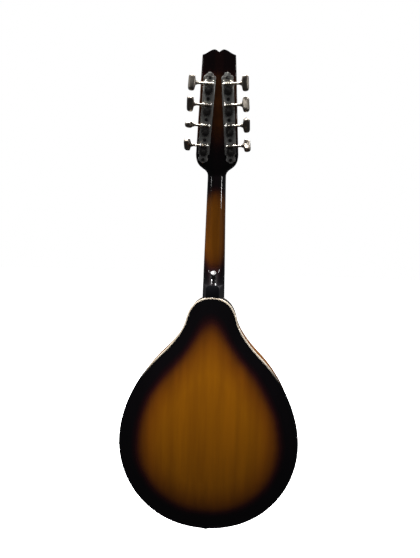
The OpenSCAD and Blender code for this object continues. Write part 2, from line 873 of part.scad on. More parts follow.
waist_w = plate_w - 4.6; // the plate's waist below its lowest gear
module plate_shape() {
  difference() {
    union() {
      translate([-plate_w / 2, -3 * tuner_pitch - 3]) square([plate_w, 3 * tuner_pitch + screw_above - 0.5]);
      translate([-waist_w / 2, -3 * tuner_pitch - last_screw]) square([waist_w, last_screw]);
      plate_end(screw_above, 1, plate_w / 2 + 0.3, 3.6, 5, 6.8);
      plate_end(-3 * tuner_pitch - last_screw, -1, plate_w / 2 - 1.1, 3, 4.2, 4.6);
    }
    for (i = [0:3]) translate([0, -i * tuner_pitch]) circle(post_r + run_gap);
    for (z = SCREW_Z) translate([0, z]) circle(screw_r + seat_gap);
  }
}

module tuner_plate(side) {
  color("silver") on_plate(side) {
    slab(0, plate_t) plate_shape();
    for (i = [0:3])
      for (x = [-lug_x, lug_x])
        translate([x - lug_t / 2, 0, mesh_d - i * tuner_pitch]) difference() {
          union() {
            translate([0, plate_t, -lug_r]) cube([lug_t, worm_y - plate_t, 2 * lug_r]);
            translate([0, worm_y, 0]) rotate([0, 90, 0]) cylinder(h = lug_t, r = lug_r);
          }
          translate([-1, worm_y, 0]) rotate([0, 90, 0]) cylinder(h = lug_t + 2, r = knob_shaft_r + run_gap);
        }
  }
}

module tuner_plate_bass() {
  tuner_plate(-1);
}

module tuner_plate_treble() {
  tuner_plate(1);
}

module slotted_screw(head_r, head_h, shank_len) {
  difference() {
    union() {
      bar_y(0, head_h, head_r);
      bar_y(-shank_len, 0.2, screw_r);
    }
    translate([-head_r - 1, head_h - 0.6, -0.3]) cube([2 * head_r + 2, 1, 0.6]);
  }
}

module tuner_plate_screws() {
  color("silver") for (side = [-1, 1]) on_plate(side) for (z = SCREW_Z)
    translate([0, plate_t, z]) slotted_screw(2.2, 1.3, plate_t + 8);
}

module post_bushings() {
  color("silver") post_places() difference() {
    union() {
      bar_y(-head_t - overlay_t, -head_t + bush_len, bush_r);
      bar_y(-head_t - overlay_t - flange_t, -head_t - overlay_t, flange_r);
    }
    bar_y(-head_t - overlay_t - flange_t - 1, -head_t + bush_len + 1, post_r + run_gap);
  }
}

// Gear tooth tips and worm grooves meet on the line from the post up to the worm
module gear_shape() {
  tip = gear_r + tooth_add;
  root = gear_r - tooth_ded;
  step = 360 / gear_teeth;
  polygon(
    [
      for (i = [0:gear_teeth - 1])
        for (c = [[root, -0.3], [tip, -0.12], [tip, 0.12], [root, 0.3]])
          let (a = 90 + (i + c[1]) * step) [c[0] * cos(a), c[0] * sin(a)]
    ]
  );
}

module worm() {
  tip = worm_r + tooth_add;
  root = worm_r - tooth_ded;
  R = [tip, tip, lerp(root, tip, 0.62), lerp(root, tip, 0.15), root, root, root];
  rotate([0, 90, 0]) translate([0, 0, -worm_len / 2])
    linear_extrude(worm_len, twist = -360 * worm_turns, slices = 8 * worm_turns, $fn = 12)
      polygon(
        [
          for (i = [0:11])
            let (r = R[i < 7 ? i : 12 - i], a = 30 * i + 180 * (worm_turns + 1)) r * [cos(a), sin(a)]
        ]
      );
}

square_w = 3.4;
waist_cut = 0.5;
string_hole_r = 0.7;
module string_post(side, i) {
  tip_y = -head_t - overlay_t - post_h;
  color("silver") on_plate(side) translate([0, 0, -i * tuner_pitch]) {
    difference() {
      rotate([90, 0, 0]) rotate_extrude()
        polygon(
          [
            [0, -gear_y], [post_r, -gear_y], [post_r, -waist_y0 - 1], [post_r - waist_cut, -waist_y0],
            [post_r - waist_cut, -waist_y1], [post_r, -waist_y1 + 1], [post_r, -tip_y - 1],
            [post_r - 1, -tip_y], [0, -tip_y]
          ]
        );
      translate([-2 * post_r, waist_y1 + string_hole_r + 0.3, 0]) rotate([0, 90, 0])
        cylinder(h = 4 * post_r, r = string_hole_r);
      bar_y(gear_y - 6, gear_y + 1, screw_r + seat_gap);
    }
    difference() {
      translate([-square_w / 2, gear_y, -square_w / 2]) cube([square_w, gear_t, square_w]);
      bar_y(gear_y - 1, gear_y + gear_t + 1, screw_r + seat_gap);
    }
  }
  color("dimgray") on_plate(side) translate([0, 0, -i * tuner_pitch]) difference() {
    translate([0, gear_y + run_gap, 0]) rotate([-90, 0, 0]) linear_extrude(gear_t - run_gap) gear_shape();
    translate([-square_w / 2 - run_gap, gear_y - 1, -square_w / 2 - run_gap])
      cube([square_w + 2 * run_gap, gear_t + 2, square_w + 2 * run_gap]);
  }
  color("gray") on_plate(side) translate([0, gear_y + gear_t + run_gap, -i * tuner_pitch])
    slotted_screw(2.9, 1.3, 6);
}

// Where each button rests in its turn: four on the bass side from the top down, then four on the treble side
BUTTON_TURNS = [-4, 24, -30, 48, 6, -24, 86, -52];

module tuner_knob(side, i) {
  half = button_len / 2;
  profile = [
    [-0.5, 2.2], [1.2, 2.8], [2.2, 5.5], [3, half - 0.8], [4, half], [button_w - 4, half],
    [button_w - 2.2, half - 1.2], [button_w - 0.6, half * 0.45]
  ];
  color("silver") on_plate(side) translate([0, worm_y, mesh_d - i * tuner_pitch]) {
    worm();
    translate([-lug_x - lug_t / 2 - 0.8, 0, 0]) rotate([0, 90, 0])
      cylinder(h = lug_x + lug_t / 2 + 0.8 + button_reach, r = knob_shaft_r);
    translate([button_reach, 0, 0]) rotate([BUTTON_TURNS[(side < 0 ? 0 : 4) + i], 0, 0])
      slab(-button_t / 2, button_t / 2)
        polygon(concat(profile, [[button_w, 0]], [for (p = reversed(profile)) [p.x, -p.y]]));
  }
}

// Tuners 1 to 4 are on the bass side and 5 to 8 on the treble side, from the top down
module tuner_knob_1() {
  tuner_knob(-1, 0);
}

module tuner_knob_2() {
  tuner_knob(-1, 1);
}

module tuner_knob_3() {
  tuner_knob(-1, 2);
}

module tuner_knob_4() {
  tuner_knob(-1, 3);
}

module tuner_knob_5() {
  tuner_knob(1, 0);
}

module tuner_knob_6() {
  tuner_knob(1, 1);
}

module tuner_knob_7() {
  tuner_knob(1, 2);
}

module tuner_knob_8() {
  tuner_knob(1, 3);
}

module string_post_1() {
  string_post(-1, 0);
}

module string_post_2() {
  string_post(-1, 1);
}

module string_post_3() {
  string_post(-1, 2);
}

module string_post_4() {
  string_post(-1, 3);
}

module string_post_5() {
  string_post(1, 0);
}

module string_post_6() {
  string_post(1, 1);
}

module string_post_7() {
  string_post(1, 2);
}

module string_post_8() {
  string_post(1, 3);
}

// ---- Bridge: it stands square on the top, so it is placed in the body's frame ----

saddle_point = from_neck([0, saddle_top_y, -scale_length]);
bridge_z = saddle_point.z;
crown_y = saddle_point.y;
saddle_h = 6;
saddle_t = 7;
crown_fall = 13; // slope of the saddle's crown in front of and behind the strings' line
saddle_low_y = crown_y + saddle_h;
wheel_t = 2;
wheel_gap = saddle_travel + 0.6;
base_top_y = saddle_low_y + wheel_t + run_gap + wheel_gap;
foot_gap = 1.5;

module post_bores(r) {
  for (side = [-1, 1]) translate([side * bridge_post_gap / 2, 0, bridge_z])
    bar_y(crown_y - 5, base_top_y + 3.5, r);
}

foot_in = 24; // inner end of each foot from the centre line
base_tip = 12; // length over which the base tapers at each end
base_lip = 4; // from each thumbwheel's post to where the crest begins to fall
module bridge_base() {
  half = bridge_len / 2;
  flat = bridge_post_gap / 2 + base_lip;
  stations = [
    half, half - base_tip / 3, half - base_tip, bridge_post_gap / 2, foot_in + 0.4, foot_in, foot_in / 2, 0
  ];
  X = [for (side = [-1, 1]) for (x = stations) side * x];
  places = concat([for (i = [0:7]) X[i]], [for (i = [14:-1:8]) X[i]]);
  function half_w(x) = bridge_w / 2 * min(1, 0.5 + 0.5 * (half - abs(x)) / base_tip);
  function crest_y(x) = base_top_y + 3.4 * pow(max(0, (abs(x) - flat) / (half - flat)), 1.5);
  function sole_y(x, z) = top_face_y(x, z) - glue_gap - (abs(x) <= foot_in ? foot_gap : 0);
  rings = [
    for (x = places)
      let (w = half_w(x))
      [
        [x, crest_y(x), bridge_z + w - 1], [x, crest_y(x) + 1, bridge_z + w],
        [x, sole_y(x, bridge_z + w), bridge_z + w],
        [x, sole_y(x, bridge_z), bridge_z], [x, sole_y(x, bridge_z - w), bridge_z - w],
        [x, crest_y(x) + 1, bridge_z - w], [x, crest_y(x), bridge_z - w + 1]
      ]
  ];
  color("black") difference() {
    skin(rings, (rings[0][0] + rings[0][3]) / 2, (rings[14][0] + rings[14][3]) / 2);
    post_bores(stud_r + run_gap);
  }
}

module bridge_posts() {
  color("goldenrod") for (side = [-1, 1])
    translate([side * bridge_post_gap / 2, 0, bridge_z]) bar_y(saddle_low_y - 3.6, base_top_y + 3.5, stud_r);
}

module thumbwheel(side) {
  color("goldenrod") translate([side * bridge_post_gap / 2, 0, bridge_z]) difference() {
    bar_y(saddle_low_y + run_gap, saddle_low_y + run_gap + wheel_t, wheel_r);
    bar_y(saddle_low_y - 1, saddle_low_y + wheel_t + 2, stud_r + run_gap);
    for (k = [0:23])
      rotate([0, k * 15, 0]) translate([wheel_r, saddle_low_y - 1, 0]) rotate([-90, 0, 0])
        cylinder(h = wheel_t + 2, r = 0.3, $fn = 4);
  }
}

module thumbwheel_bass() {
  thumbwheel(-1);
}

module thumbwheel_treble() {
  thumbwheel(1);
}

module saddle() {
  half = bridge_len / 2 - 5;
  color("black") difference() {
    translate([0, 0, bridge_z - saddle_t / 2]) linear_extrude(saddle_t)
      polygon(
        [
          [-half, saddle_low_y], [-half, saddle_low_y - 2], [-saddle_spread / 2 - 10, crown_y + 1.6],
          [-saddle_spread / 2 - 4, crown_y], [saddle_spread / 2 + 4, crown_y],
          [saddle_spread / 2 + 10, crown_y + 1.6], [half, saddle_low_y - 2], [half, saddle_low_y]
        ]
      );
    post_bores(stud_r + run_gap);
    for (way = [-1, 1]) translate([-half, crown_y, bridge_z]) rotate([-way * crown_fall, 0, 0])
      translate([0, -saddle_h, way < 0 ? -saddle_t : 0]) cube([2 * half, saddle_h, saddle_t]);
  }
}

// ---- Tailpiece ----

hinge_w = 26;
cover_gap = 0.35;
cover_wall = 1;
cover_inside = 9.5;
tail_back_y = tail_face_y + tail_plate_t;

module tailpiece_base() {
  color("silver") difference() {
    union() {
      intersection() {
        edge_band(tail_face_y, back_y - 2, -tail_plate_t, 0);
        translate([-hinge_w / 2, tail_face_y, tail_z - 10]) cube([hinge_w, rim_depth + 20, 20]);
      }
      slab(tail_face_y, tail_back_y)
        polygon(
          [
            [-hinge_w / 2, tail_z - tail_plate_t], [hinge_w / 2, tail_z - tail_plate_t],
            [hinge_w / 2, tail_z + 4], [tail_w / 2, tail_z + 7], [tail_w / 2, tail_z + tail_len],
            [-tail_w / 2, tail_z + tail_len], [-tail_w / 2, tail_z + 7], [-hinge_w / 2, tail_z + 4]
          ]
        );
      for (course = [0:3])
        for (pair = [0, 1])
          translate([hook_x(course, pair), tail_face_y - hook_h, hook_z + (pair == 0 ? 0 : hook_row)])
            bar_y(0, hook_h + 0.5, hook_r);
    }
    tail_holes();
  }
}

module tailpiece_screws() {
  color("silver") for (p = TAIL_SCREWS)
    translate([p.x, p.y, tail_z - tail_plate_t]) rotate([-90, 0, 0]) slotted_screw(2.4, 1.3, tail_screw_len);
}

module tailpiece_cover() {
  in_w = tail_w + 2 * cover_gap;
  out_w = in_w + 2 * cover_wall;
  z0 = tail_z + 1;
  lip_y = tail_back_y + cover_gap;
  roof_y = tail_face_y - cover_inside;
  color("silver") difference() {
    translate([-out_w / 2, roof_y - cover_wall, z0])
      cube([out_w, lip_y - roof_y + 2 * cover_wall, cover_len]);
    translate([-in_w / 2, roof_y, z0 + cover_wall]) cube([in_w, lip_y - roof_y, cover_len]);
    translate([-in_w / 2 + 3, roof_y, z0 - 1]) cube([in_w - 6, 40, cover_len + 2]);
  }
}

pin_head_h0 = 6.8; // the end pin's head, from the plate it stands on
pin_head_h1 = 9.2;
module end_pin() {
  color("silver") translate([0, pin_y, tail_z - tail_plate_t]) mirror([0, 0, 1]) rotate_extrude()
    polygon(
      [
        [0, -24], [pin_shank_r, -24], [pin_shank_r, 0], [5.6, 0], [5.4, 1], [3.6, 2.2], [3.6, 5.2], [5.4, 6.4],
        [pin_head_r, pin_head_h0], [pin_head_r, pin_head_h1], [5, 10.2], [0, 10.6]
      ]
    );
}

// ---- Strap button on the heel ----

strap_len = 13;
module heel_strap_button() {
  color("silver") at_strap_button() difference() {
    rotate_extrude()
      polygon(
        [
          [0, 0], [4.4, 0], [4.1, 1.2], [2.9, 3.2], [2.6, 7], [3.2, 8.6], [button_head_r, 9.6],
          [button_head_r, strap_len - 1.2], [button_head_r - 1.2, strap_len], [0, strap_len]
        ]
      );
    translate([0, 0, -1]) cylinder(h = strap_len + 2, r = screw_r + seat_gap);
    translate([0, 0, strap_len - 1.6]) cylinder(h = 2, r = 2.4);
  }
}

module heel_button_screw() {
  color("silver") at_strap_button() difference() {
    union() {
      translate([0, 0, -15]) cylinder(h = 15 + strap_len - 1.6, r = screw_r);
      translate([0, 0, strap_len - 1.6]) cylinder(h = 1.4, r = 2.3);
    }
    translate([-3, -0.3, strap_len - 0.7]) cube([6, 0.6, 1]);
  }
}

soundboard();
back_plate();
bass_rib();
treble_rib();
neck_block();
tail_block();
top_linings();
back_linings();
tone_bars();
top_binding();
back_binding();
neck();
heel_cap();
fretboard();
frets();
position_dots();
nut();
headstock_overlay();
truss_rod();
truss_rod_nut();
truss_rod_cover();
truss_cover_screws();
tuner_plate_bass();
tuner_plate_treble();
tuner_plate_screws();
post_bushings();
bridge_base();
bridge_posts();
thumbwheel_bass();
thumbwheel_treble();
saddle();
tailpiece_base();
tailpiece_screws();
tailpiece_cover();
end_pin();
heel_strap_button();
heel_button_screw();
string_course_g();
string_course_d();
string_course_a();
string_course_e();
tuner_knob_1();
tuner_knob_2();
tuner_knob_3();
tuner_knob_4();
tuner_knob_5();
tuner_knob_6();
tuner_knob_7();
tuner_knob_8();
string_post_1();
string_post_2();
string_post_3();
string_post_4();
string_post_5();
string_post_6();
string_post_7();
string_post_8();
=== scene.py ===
import json
import math

import bmesh
import bpy
import numpy as np
from mathutils import Matrix, Vector


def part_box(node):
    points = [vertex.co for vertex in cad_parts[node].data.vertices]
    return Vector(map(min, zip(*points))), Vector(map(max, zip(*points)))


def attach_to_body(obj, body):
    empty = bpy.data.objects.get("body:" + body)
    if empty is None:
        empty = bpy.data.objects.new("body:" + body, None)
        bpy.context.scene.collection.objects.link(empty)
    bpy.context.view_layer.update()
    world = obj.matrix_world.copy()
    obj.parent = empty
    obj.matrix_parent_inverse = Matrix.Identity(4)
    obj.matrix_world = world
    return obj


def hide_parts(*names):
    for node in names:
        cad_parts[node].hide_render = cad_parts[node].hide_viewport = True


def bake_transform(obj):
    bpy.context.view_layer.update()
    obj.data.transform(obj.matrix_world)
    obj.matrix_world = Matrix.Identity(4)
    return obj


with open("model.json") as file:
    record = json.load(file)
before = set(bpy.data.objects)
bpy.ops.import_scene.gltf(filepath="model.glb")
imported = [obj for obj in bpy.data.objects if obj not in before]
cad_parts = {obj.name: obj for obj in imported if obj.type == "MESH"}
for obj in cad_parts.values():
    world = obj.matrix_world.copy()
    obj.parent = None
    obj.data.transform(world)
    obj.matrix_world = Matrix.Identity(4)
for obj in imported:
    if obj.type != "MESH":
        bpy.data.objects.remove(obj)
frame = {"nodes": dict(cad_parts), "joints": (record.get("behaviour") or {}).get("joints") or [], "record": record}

# The looks of a teardrop mandolin, built round its CAD frame: the nut is at the origin, +Z points up the
# headstock and +Y out of the back. Sizes are millimetres, turned to metres where a mesh is made.
MM = 0.001
scene = bpy.context.scene
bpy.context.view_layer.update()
joints = {j["name"]: j for j in frame["joints"]}


# ---- Sizes from the frame ----


def low_high(name):
    """A CAD node's lowest and highest corners, in millimetres."""
    low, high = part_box(name)
    return low / MM, high / MM


def joint_place(name):
    return Vector(joints[name]["pos_m"]) / MM, Vector(joints[name]["axis"])


BODY_LOW, BODY_HIGH = low_high("back_binding")
TOP_LOW, TOP_HIGH = low_high("top_binding")
APEX_Z = BODY_HIGH.z
TAIL_Z = BODY_LOW.z
BODY_LEN = APEX_Z - TAIL_Z
HALF_W = BODY_HIGH.x
BACK_Y = BODY_HIGH.y
BACK_GLUE_Y = BODY_LOW.y
FRONT_Y = TOP_LOW.y
TOP_GLUE_Y = TOP_HIGH.y
EDGE_T = BACK_Y - BACK_GLUE_Y
BACK_RISE = low_high("back_plate")[1].y - BACK_Y
TOP_RISE = FRONT_Y - low_high("soundboard")[0].y
BINDING_W = HALF_W - low_high("back_plate")[1].x
NUT_HALF_W = low_high("nut")[1].x
NUT_T = 5
NECK_DIR = joint_place("truss_rod_nut_turn")[1]
NECK_ANGLE = math.atan2(NECK_DIR.y, NECK_DIR.z)
POST_AXIS = joint_place("post_1_turn")[1]
HEAD_BACK = -POST_AXIS
HEAD_ANGLE = math.atan2(-HEAD_BACK.z, HEAD_BACK.y)
HEAD_LEAN = HEAD_ANGLE - NECK_ANGLE
JOINT_S = -APEX_Z / math.cos(NECK_ANGLE)
HEEL_CAP_HIGH = low_high("heel_cap")[1]
HEEL_LEN = HEEL_CAP_HIGH.z - APEX_Z
HEEL_HALF_W = HEEL_CAP_HIGH.x


# ---- Frames ----


def turned(p, angle):
    c, s = math.cos(angle), math.sin(angle)
    return Vector((p[0], p[1] * c - p[2] * s, p[1] * s + p[2] * c))


def from_neck(p):
    return turned(p, -NECK_ANGLE)


def from_head(p):
    return from_neck(turned(p, -HEAD_LEAN) + Vector((0, 0, NUT_T)))


class Place:
    """An origin with three axes, in millimetres. A left-handed one mirrors what is put in it."""

    def __init__(self, origin, x, y, z):
        self.origin, self.axes = Vector(origin), (Vector(x), Vector(y), Vector(z))
        self.mirrored = self.axes[0].cross(self.axes[1]).dot(self.axes[2]) < 0

    def point(self, p):
        return self.origin + sum((a * v for a, v in zip(self.axes, p)), Vector())

    def put(self, part):
        points, faces = part
        if self.mirrored:
            faces = [list(reversed(f)) for f in faces]
        return [self.point(p) for p in points], faces


def tuner_place(number):
    """A tuner's place at its post: X outwards, Y out of the headstock's back, Z up the headstock."""
    origin, _ = joint_place(f"post_{number}_turn")
    out = joint_place(f"knob_{number}_spin")[1]
    up = out.cross(HEAD_BACK)
    return Place(origin, out, HEAD_BACK, up if up.z > 0 else -up)


# ---- Meshes ----


def loft(rings, closed=False):
    """Skins closed rings of points. The two ends get flat faces unless the loft itself is closed."""
    n, m = len(rings[0]), len(rings)
    points = [Vector(p) for ring in rings for p in ring]
    faces = [
        [j * n + i, j * n + (i + 1) % n, (j + 1) % m * n + (i + 1) % n, (j + 1) % m * n + i]
        for j in range(m if closed else m - 1)
        for i in range(n)
    ]
    if not closed:
        faces += [list(range(n))[::-1], [(m - 1) * n + i for i in range(n)]]
    return points, faces


def lathe(profile, steps=40):
    """Turns a profile of (radius, height) round Z. Its ends lie on the axis or are left as flat faces."""
    rings = [
        [(r * math.cos(a), r * math.sin(a), h) for a in np.linspace(0, 2 * math.pi, steps, endpoint=False)]
        for r, h in ((max(r, 0.01), h) for r, h in profile)
    ]
    return loft(rings)


def tube(path, radius, sides=10):
    """A round line of constant radius along a path."""
    path = [Vector(p) for p in path]
    rings, across = [], None
    for i, p in enumerate(path):
        along = (path[min(i + 1, len(path) - 1)] - path[max(i - 1, 0)]).normalized()
        if across is None:
            across = along.orthogonal().normalized()
        across = (across - along * across.dot(along)).normalized()
        over = along.cross(across)
        rings.append(
            [
                p + radius * (math.cos(a) * across + math.sin(a) * over)
                for a in np.linspace(0, 2 * math.pi, sides, endpoint=False)
            ]
        )
    return loft(rings)


def joined(*parts):
    points, faces = [], []
    for more_points, more_faces in parts:
        base = len(points)
        points += more_points
        faces += [[base + i for i in face] for face in more_faces]
    return points, faces


def smooth(piece, angle):
    for face in piece.data.polygons:
        face.use_smooth = True
    piece.data.set_sharp_from_angle(angle=math.radians(angle))


def add_piece(name, part, material, angle=35):
    """A mesh object from points in millimetres, with its faces turned outwards."""
    mesh = bpy.data.meshes.new(name)
    mesh.from_pydata([tuple(p * MM) for p in map(Vector, part[0])], [], part[1])
    work = bmesh.new()
    work.from_mesh(mesh)
    bmesh.ops.recalc_face_normals(work, faces=work.faces)
    work.to_mesh(mesh)
    work.free()
    piece = bpy.data.objects.new(name, mesh)
    scene.collection.objects.link(piece)
    mesh.materials.append(material)
    smooth(piece, angle)
    return piece


def attach(piece, body, slot, *nodes):
    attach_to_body(piece, body)
    if nodes:
        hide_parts(*nodes)
    return piece


def bevel_edges(work, width, angle):
    """Rounds every edge of a bmesh that is sharper than the angle."""
    edges = [
        e for e in work.edges if len(e.link_faces) == 2 and e.calc_face_angle(0) > math.radians(angle)
    ]
    bmesh.ops.bevel(
        work, geom=edges, offset=width * MM, offset_type="OFFSET", segments=2, profile=0.5,
        affect="EDGES", clamp_overlap=True,
    )


def refined(name, material, width, body="body"):
    """Stands for a CAD node whose shape is right: the same solid with its sharp edges rounded."""
    work = bmesh.new()
    work.from_mesh(frame["nodes"][name].data)
    bmesh.ops.remove_doubles(work, verts=work.verts, dist=0.002 * MM)
    bmesh.ops.dissolve_limit(work, angle_limit=math.radians(0.6), verts=work.verts, edges=work.edges)
    bevel_edges(work, width, 35)
    mesh = bpy.data.meshes.new(f"{name}_visual")
    work.to_mesh(mesh)
    work.free()
    mesh.materials.clear()
    mesh.materials.append(material)
    piece = bpy.data.objects.new(f"{name}_visual", mesh)
    scene.collection.objects.link(piece)
    smooth(piece, 32)
    slot = next(s["material_slot"] for s in frame["record"]["subparts"] if s["node"] == name)
    return attach(piece, body, slot, name)


def cut(piece, cutter, operation):
    """Applies a boolean with the cutter, which is then removed."""
    modifier = piece.modifiers.new("cut", "BOOLEAN")
    modifier.operation, modifier.object, modifier.solver = operation, cutter, "EXACT"
    done = bpy.data.meshes.new_from_object(piece.evaluated_get(bpy.context.evaluated_depsgraph_get()))
    piece.modifiers.clear()
    piece.data = done
    bpy.data.objects.remove(cutter)


def slab(outline, y0, y1):
    """A flat outline of (x, z) points as a slab between two Y planes."""
    return loft([[(x, y, z) for x, z in outline] for y in (y0, y1)])


# ---- Materials ----


def material(name, color, roughness, metallic=0.0, coat=0.0, coat_roughness=0.04, specular=0.5):
    """A principled material with its fixed values on the shader's own sockets."""
    mat = bpy.data.materials.new(name)
    mat.use_nodes = True
    nodes = mat.node_tree.nodes
    shader = nodes["Principled BSDF"]
    shader.inputs["Base Color"].default_value = (*color, 1)
    shader.inputs["Roughness"].default_value = roughness
    shader.inputs["Metallic"].default_value = metallic
    shader.inputs["Coat Weight"].default_value = coat
    shader.inputs["Coat Roughness"].default_value = coat_roughness
    shader.inputs["Specular IOR Level"].default_value = specular
    return mat


def node(mat, kind, inputs=None, **settings):
    """Adds a node. Inputs are values, or sockets to link from."""
    made = mat.node_tree.nodes.new(kind)
    for key, value in settings.items():
        setattr(made, key, value)
    for key, value in (inputs or {}).items():
        if isinstance(value, bpy.types.NodeSocket):
            mat.node_tree.links.new(value, made.inputs[key])
        else:
            made.inputs[key].default_value = value
    return made


def to_shader(mat, **sockets):
    shader = mat.node_tree.nodes["Principled BSDF"]
    for key, socket in sockets.items():
        mat.node_tree.links.new(socket, shader.inputs[key.replace("_", " ")])


def stretched(mat, scale):
    """Object coordinates, scaled along each axis."""
    place = node(mat, "ShaderNodeTexCoord")
    made = node(mat, "ShaderNodeMapping", {"Vector": place.outputs["Object"], "Scale": scale})
    return made.outputs["Vector"]


def noise(mat, scale, stretch=(1, 1, 1), detail=4.0, rough=0.55):
    made = node(
        mat, "ShaderNodeTexNoise",
        {"Vector": stretched(mat, stretch), "Scale": scale, "Detail": detail, "Roughness": rough},
    )
    return made.outputs["Fac"]


def ramp(mat, value, stops):
    """A colour ramp through (position, colour) stops."""
    made = node(mat, "ShaderNodeValToRGB", {"Fac": value})
    elements = made.color_ramp.elements
    while len(elements) < len(stops):
        elements.new(0.5)
    for element, (position, color) in zip(elements, stops):
        element.position, element.color = position, (*color, 1)
    return made.outputs["Color"]


def spread(mat, value, low, high, out_low, out_high):
    """Maps a value's range to another one, clamped."""
    made = node(
        mat, "ShaderNodeMapRange",
        {"Value": value, "From Min": low, "From Max": high, "To Min": out_low, "To Max": out_high},
        interpolation_type="SMOOTHSTEP",
    )
    return made.outputs["Result"]


def combined(mat, operation, *values):
    """A math operation on one or two values, which are numbers or sockets to link from."""
    return node(mat, "ShaderNodeMath", dict(enumerate(values)), operation=operation).outputs[0]


# Places of the Mix node's sockets when it mixes colours
MIX_FACTOR, MIX_A, MIX_B, MIX_RESULT = 0, 6, 7, 2


def mixed(mat, factor, a, b):
    """Mixes two colours. The factor and the colours are values, or sockets to link from."""
    made = node(mat, "ShaderNodeMix", data_type="RGBA")
    for index, value in ((MIX_FACTOR, factor), (MIX_A, a), (MIX_B, b)):
        if isinstance(value, bpy.types.NodeSocket):
            mat.node_tree.links.new(value, made.inputs[index])
        else:
            made.inputs[index].default_value = value if index == MIX_FACTOR else (*value, 1)
    return made.outputs[MIX_RESULT]


def bump(mat, height, distance_mm, strength=0.5):
    made = node(
        mat, "ShaderNodeBump", {"Height": height, "Distance": distance_mm * MM, "Strength": strength}
    )
    to_shader(mat, Normal=made.outputs["Normal"])


def grain(mat, color, dark, light, scale=90.0, stretch=(1, 1, 0.05)):
    """Streaks of wood grain along the instrument, multiplied into a colour."""
    fine = spread(mat, noise(mat, scale, stretch, 6), 0.25, 0.75, dark, light)
    broad = spread(mat, noise(mat, scale / 7, stretch, 2), 0.3, 0.7, (dark + 1) / 2, 1)
    return tinted(mat, color, combined(mat, "MULTIPLY", fine, broad))


def tinted(mat, color, value):
    """A colour scaled by a grey value."""
    scaled = node(mat, "ShaderNodeVectorMath", {0: color, "Scale": value}, operation="SCALE")
    return scaled.outputs["Vector"]


def axis_value(mat, axis):
    """One object coordinate, in millimetres."""
    place = node(mat, "ShaderNodeTexCoord")
    apart = node(mat, "ShaderNodeSeparateXYZ", {"Vector": place.outputs["Object"]})
    return combined(mat, "MULTIPLY", apart.outputs[axis], 1 / MM)


BINDING_CREAM = (0.50, 0.44, 0.36)
# Lacquer colours from the black edge to the amber middle
SUNBURST = [
    (0.0, (0.0012, 0.0010, 0.0014)),
    (0.25, (0.0014, 0.0008, 0.0014)),
    (0.32, (0.0055, 0.0008, 0.0014)),
    (0.38, (0.0180, 0.0030, 0.0022)),
    (0.44, (0.050, 0.0120, 0.0016)),
    (0.53, (0.104, 0.0290, 0.0012)),
    (0.66, (0.150, 0.0450, 0.0010)),
    (0.82, (0.195, 0.0620, 0.0010)),
    (1.0, (0.225, 0.0740, 0.0010)),
]


def burst_lacquer(name):
    """Sunburst lacquer on a carved plate, coloured by the plate's own burst attribute."""
    mat = material(name, (0.3, 0.1, 0.01), 0.4, coat=0.8, coat_roughness=0.05, specular=0.08)
    burst = node(mat, "ShaderNodeAttribute", attribute_name="burst")
    uneven = combined(mat, "ADD", burst.outputs["Fac"], spread(mat, noise(mat, 9), 0.3, 0.7, -0.03, 0.03))
    to_shader(mat, Base_Color=grain(mat, ramp(mat, uneven, SUNBURST), 0.80, 1.06))
    bump(mat, noise(mat, 700, (1, 1, 0.08), 3), 0.02, 0.15)
    return mat


def rib_lacquer():
    """Red-brown sides that darken towards both bindings and at the neck."""
    mat = material("rib_lacquer", (0.2, 0.06, 0.01), 0.4, coat=0.8, coat_roughness=0.05, specular=0.08)
    off = combined(mat, "SUBTRACT", axis_value(mat, "Y"), (TOP_GLUE_Y + BACK_GLUE_Y) / 2)
    across = spread(mat, combined(mat, "ABSOLUTE", off), 19, 5, 0.30, 0.88)
    along = spread(mat, axis_value(mat, "Z"), APEX_Z - 10, APEX_Z - 36, 0.25, 1)
    burst = combined(mat, "MULTIPLY", across, along)
    to_shader(mat, Base_Color=grain(mat, ramp(mat, burst, SUNBURST), 0.72, 1.1, 60, (1, 3, 1)))
    bump(mat, noise(mat, 500, (1, 6, 1), 3), 0.02, 0.15)
    return mat


# Burst over the neck and over the headstock. Each row runs from one place along an axis to another, with the
# share of the burst at both, and the rows are multiplied. X counts both ways from the middle.
NECK_BURST = [("Z", -48, 6, 0.70, 0.16), ("Z", -150, -92, 0.40, 1), ("X", 15, 6, 0.80, 1)]
HEAD_BURST = [("Z", 16, 70, 0.28, 0.485), ("Z", 138, 116, 0.72, 1), ("X", 8, 3, 0.92, 1)]


def neck_lacquer():
    """Amber-brown neck with black ends and darker sides, and a red-brown headstock back."""
    mat = material("neck_lacquer", (0.2, 0.06, 0.01), 0.4, coat=0.9, coat_roughness=0.06, specular=0.08)
    places = {"Z": axis_value(mat, "Z"), "X": combined(mat, "ABSOLUTE", axis_value(mat, "X"))}
    bursts = []
    for rows in (NECK_BURST, HEAD_BURST):
        shares = [spread(mat, places[axis], *ends) for axis, *ends in rows]
        burst = shares[0]
        for share in shares[1:]:
            burst = combined(mat, "MULTIPLY", burst, share)
        bursts.append(burst)
    burst = combined(mat, "MAXIMUM", *bursts)
    to_shader(mat, Base_Color=grain(mat, ramp(mat, burst, SUNBURST), 0.76, 1.1, 120))
    bump(mat, noise(mat, 700, (1, 1, 0.08), 3), 0.02, 0.15)
    return mat


def bare_wood(name, color, dark=0.7, roughness=0.7):
    mat = material(name, color, roughness)
    base = node(mat, "ShaderNodeRGB")
    base.outputs[0].default_value = (*color, 1)
    to_shader(mat, Base_Color=grain(mat, base.outputs[0], dark, 1.1, 220))
    bump(mat, noise(mat, 900, (1, 1, 0.04), 3), 0.08, 0.4)
    return mat


def black_gloss():
    mat = material("black_gloss", (0.004, 0.004, 0.005), 0.12, coat=0.6, specular=0.4)
    to_shader(mat, Roughness=spread(mat, noise(mat, 60), 0.3, 0.7, 0.10, 0.20))
    bump(mat, noise(mat, 350), 0.02, 0.1)
    return mat


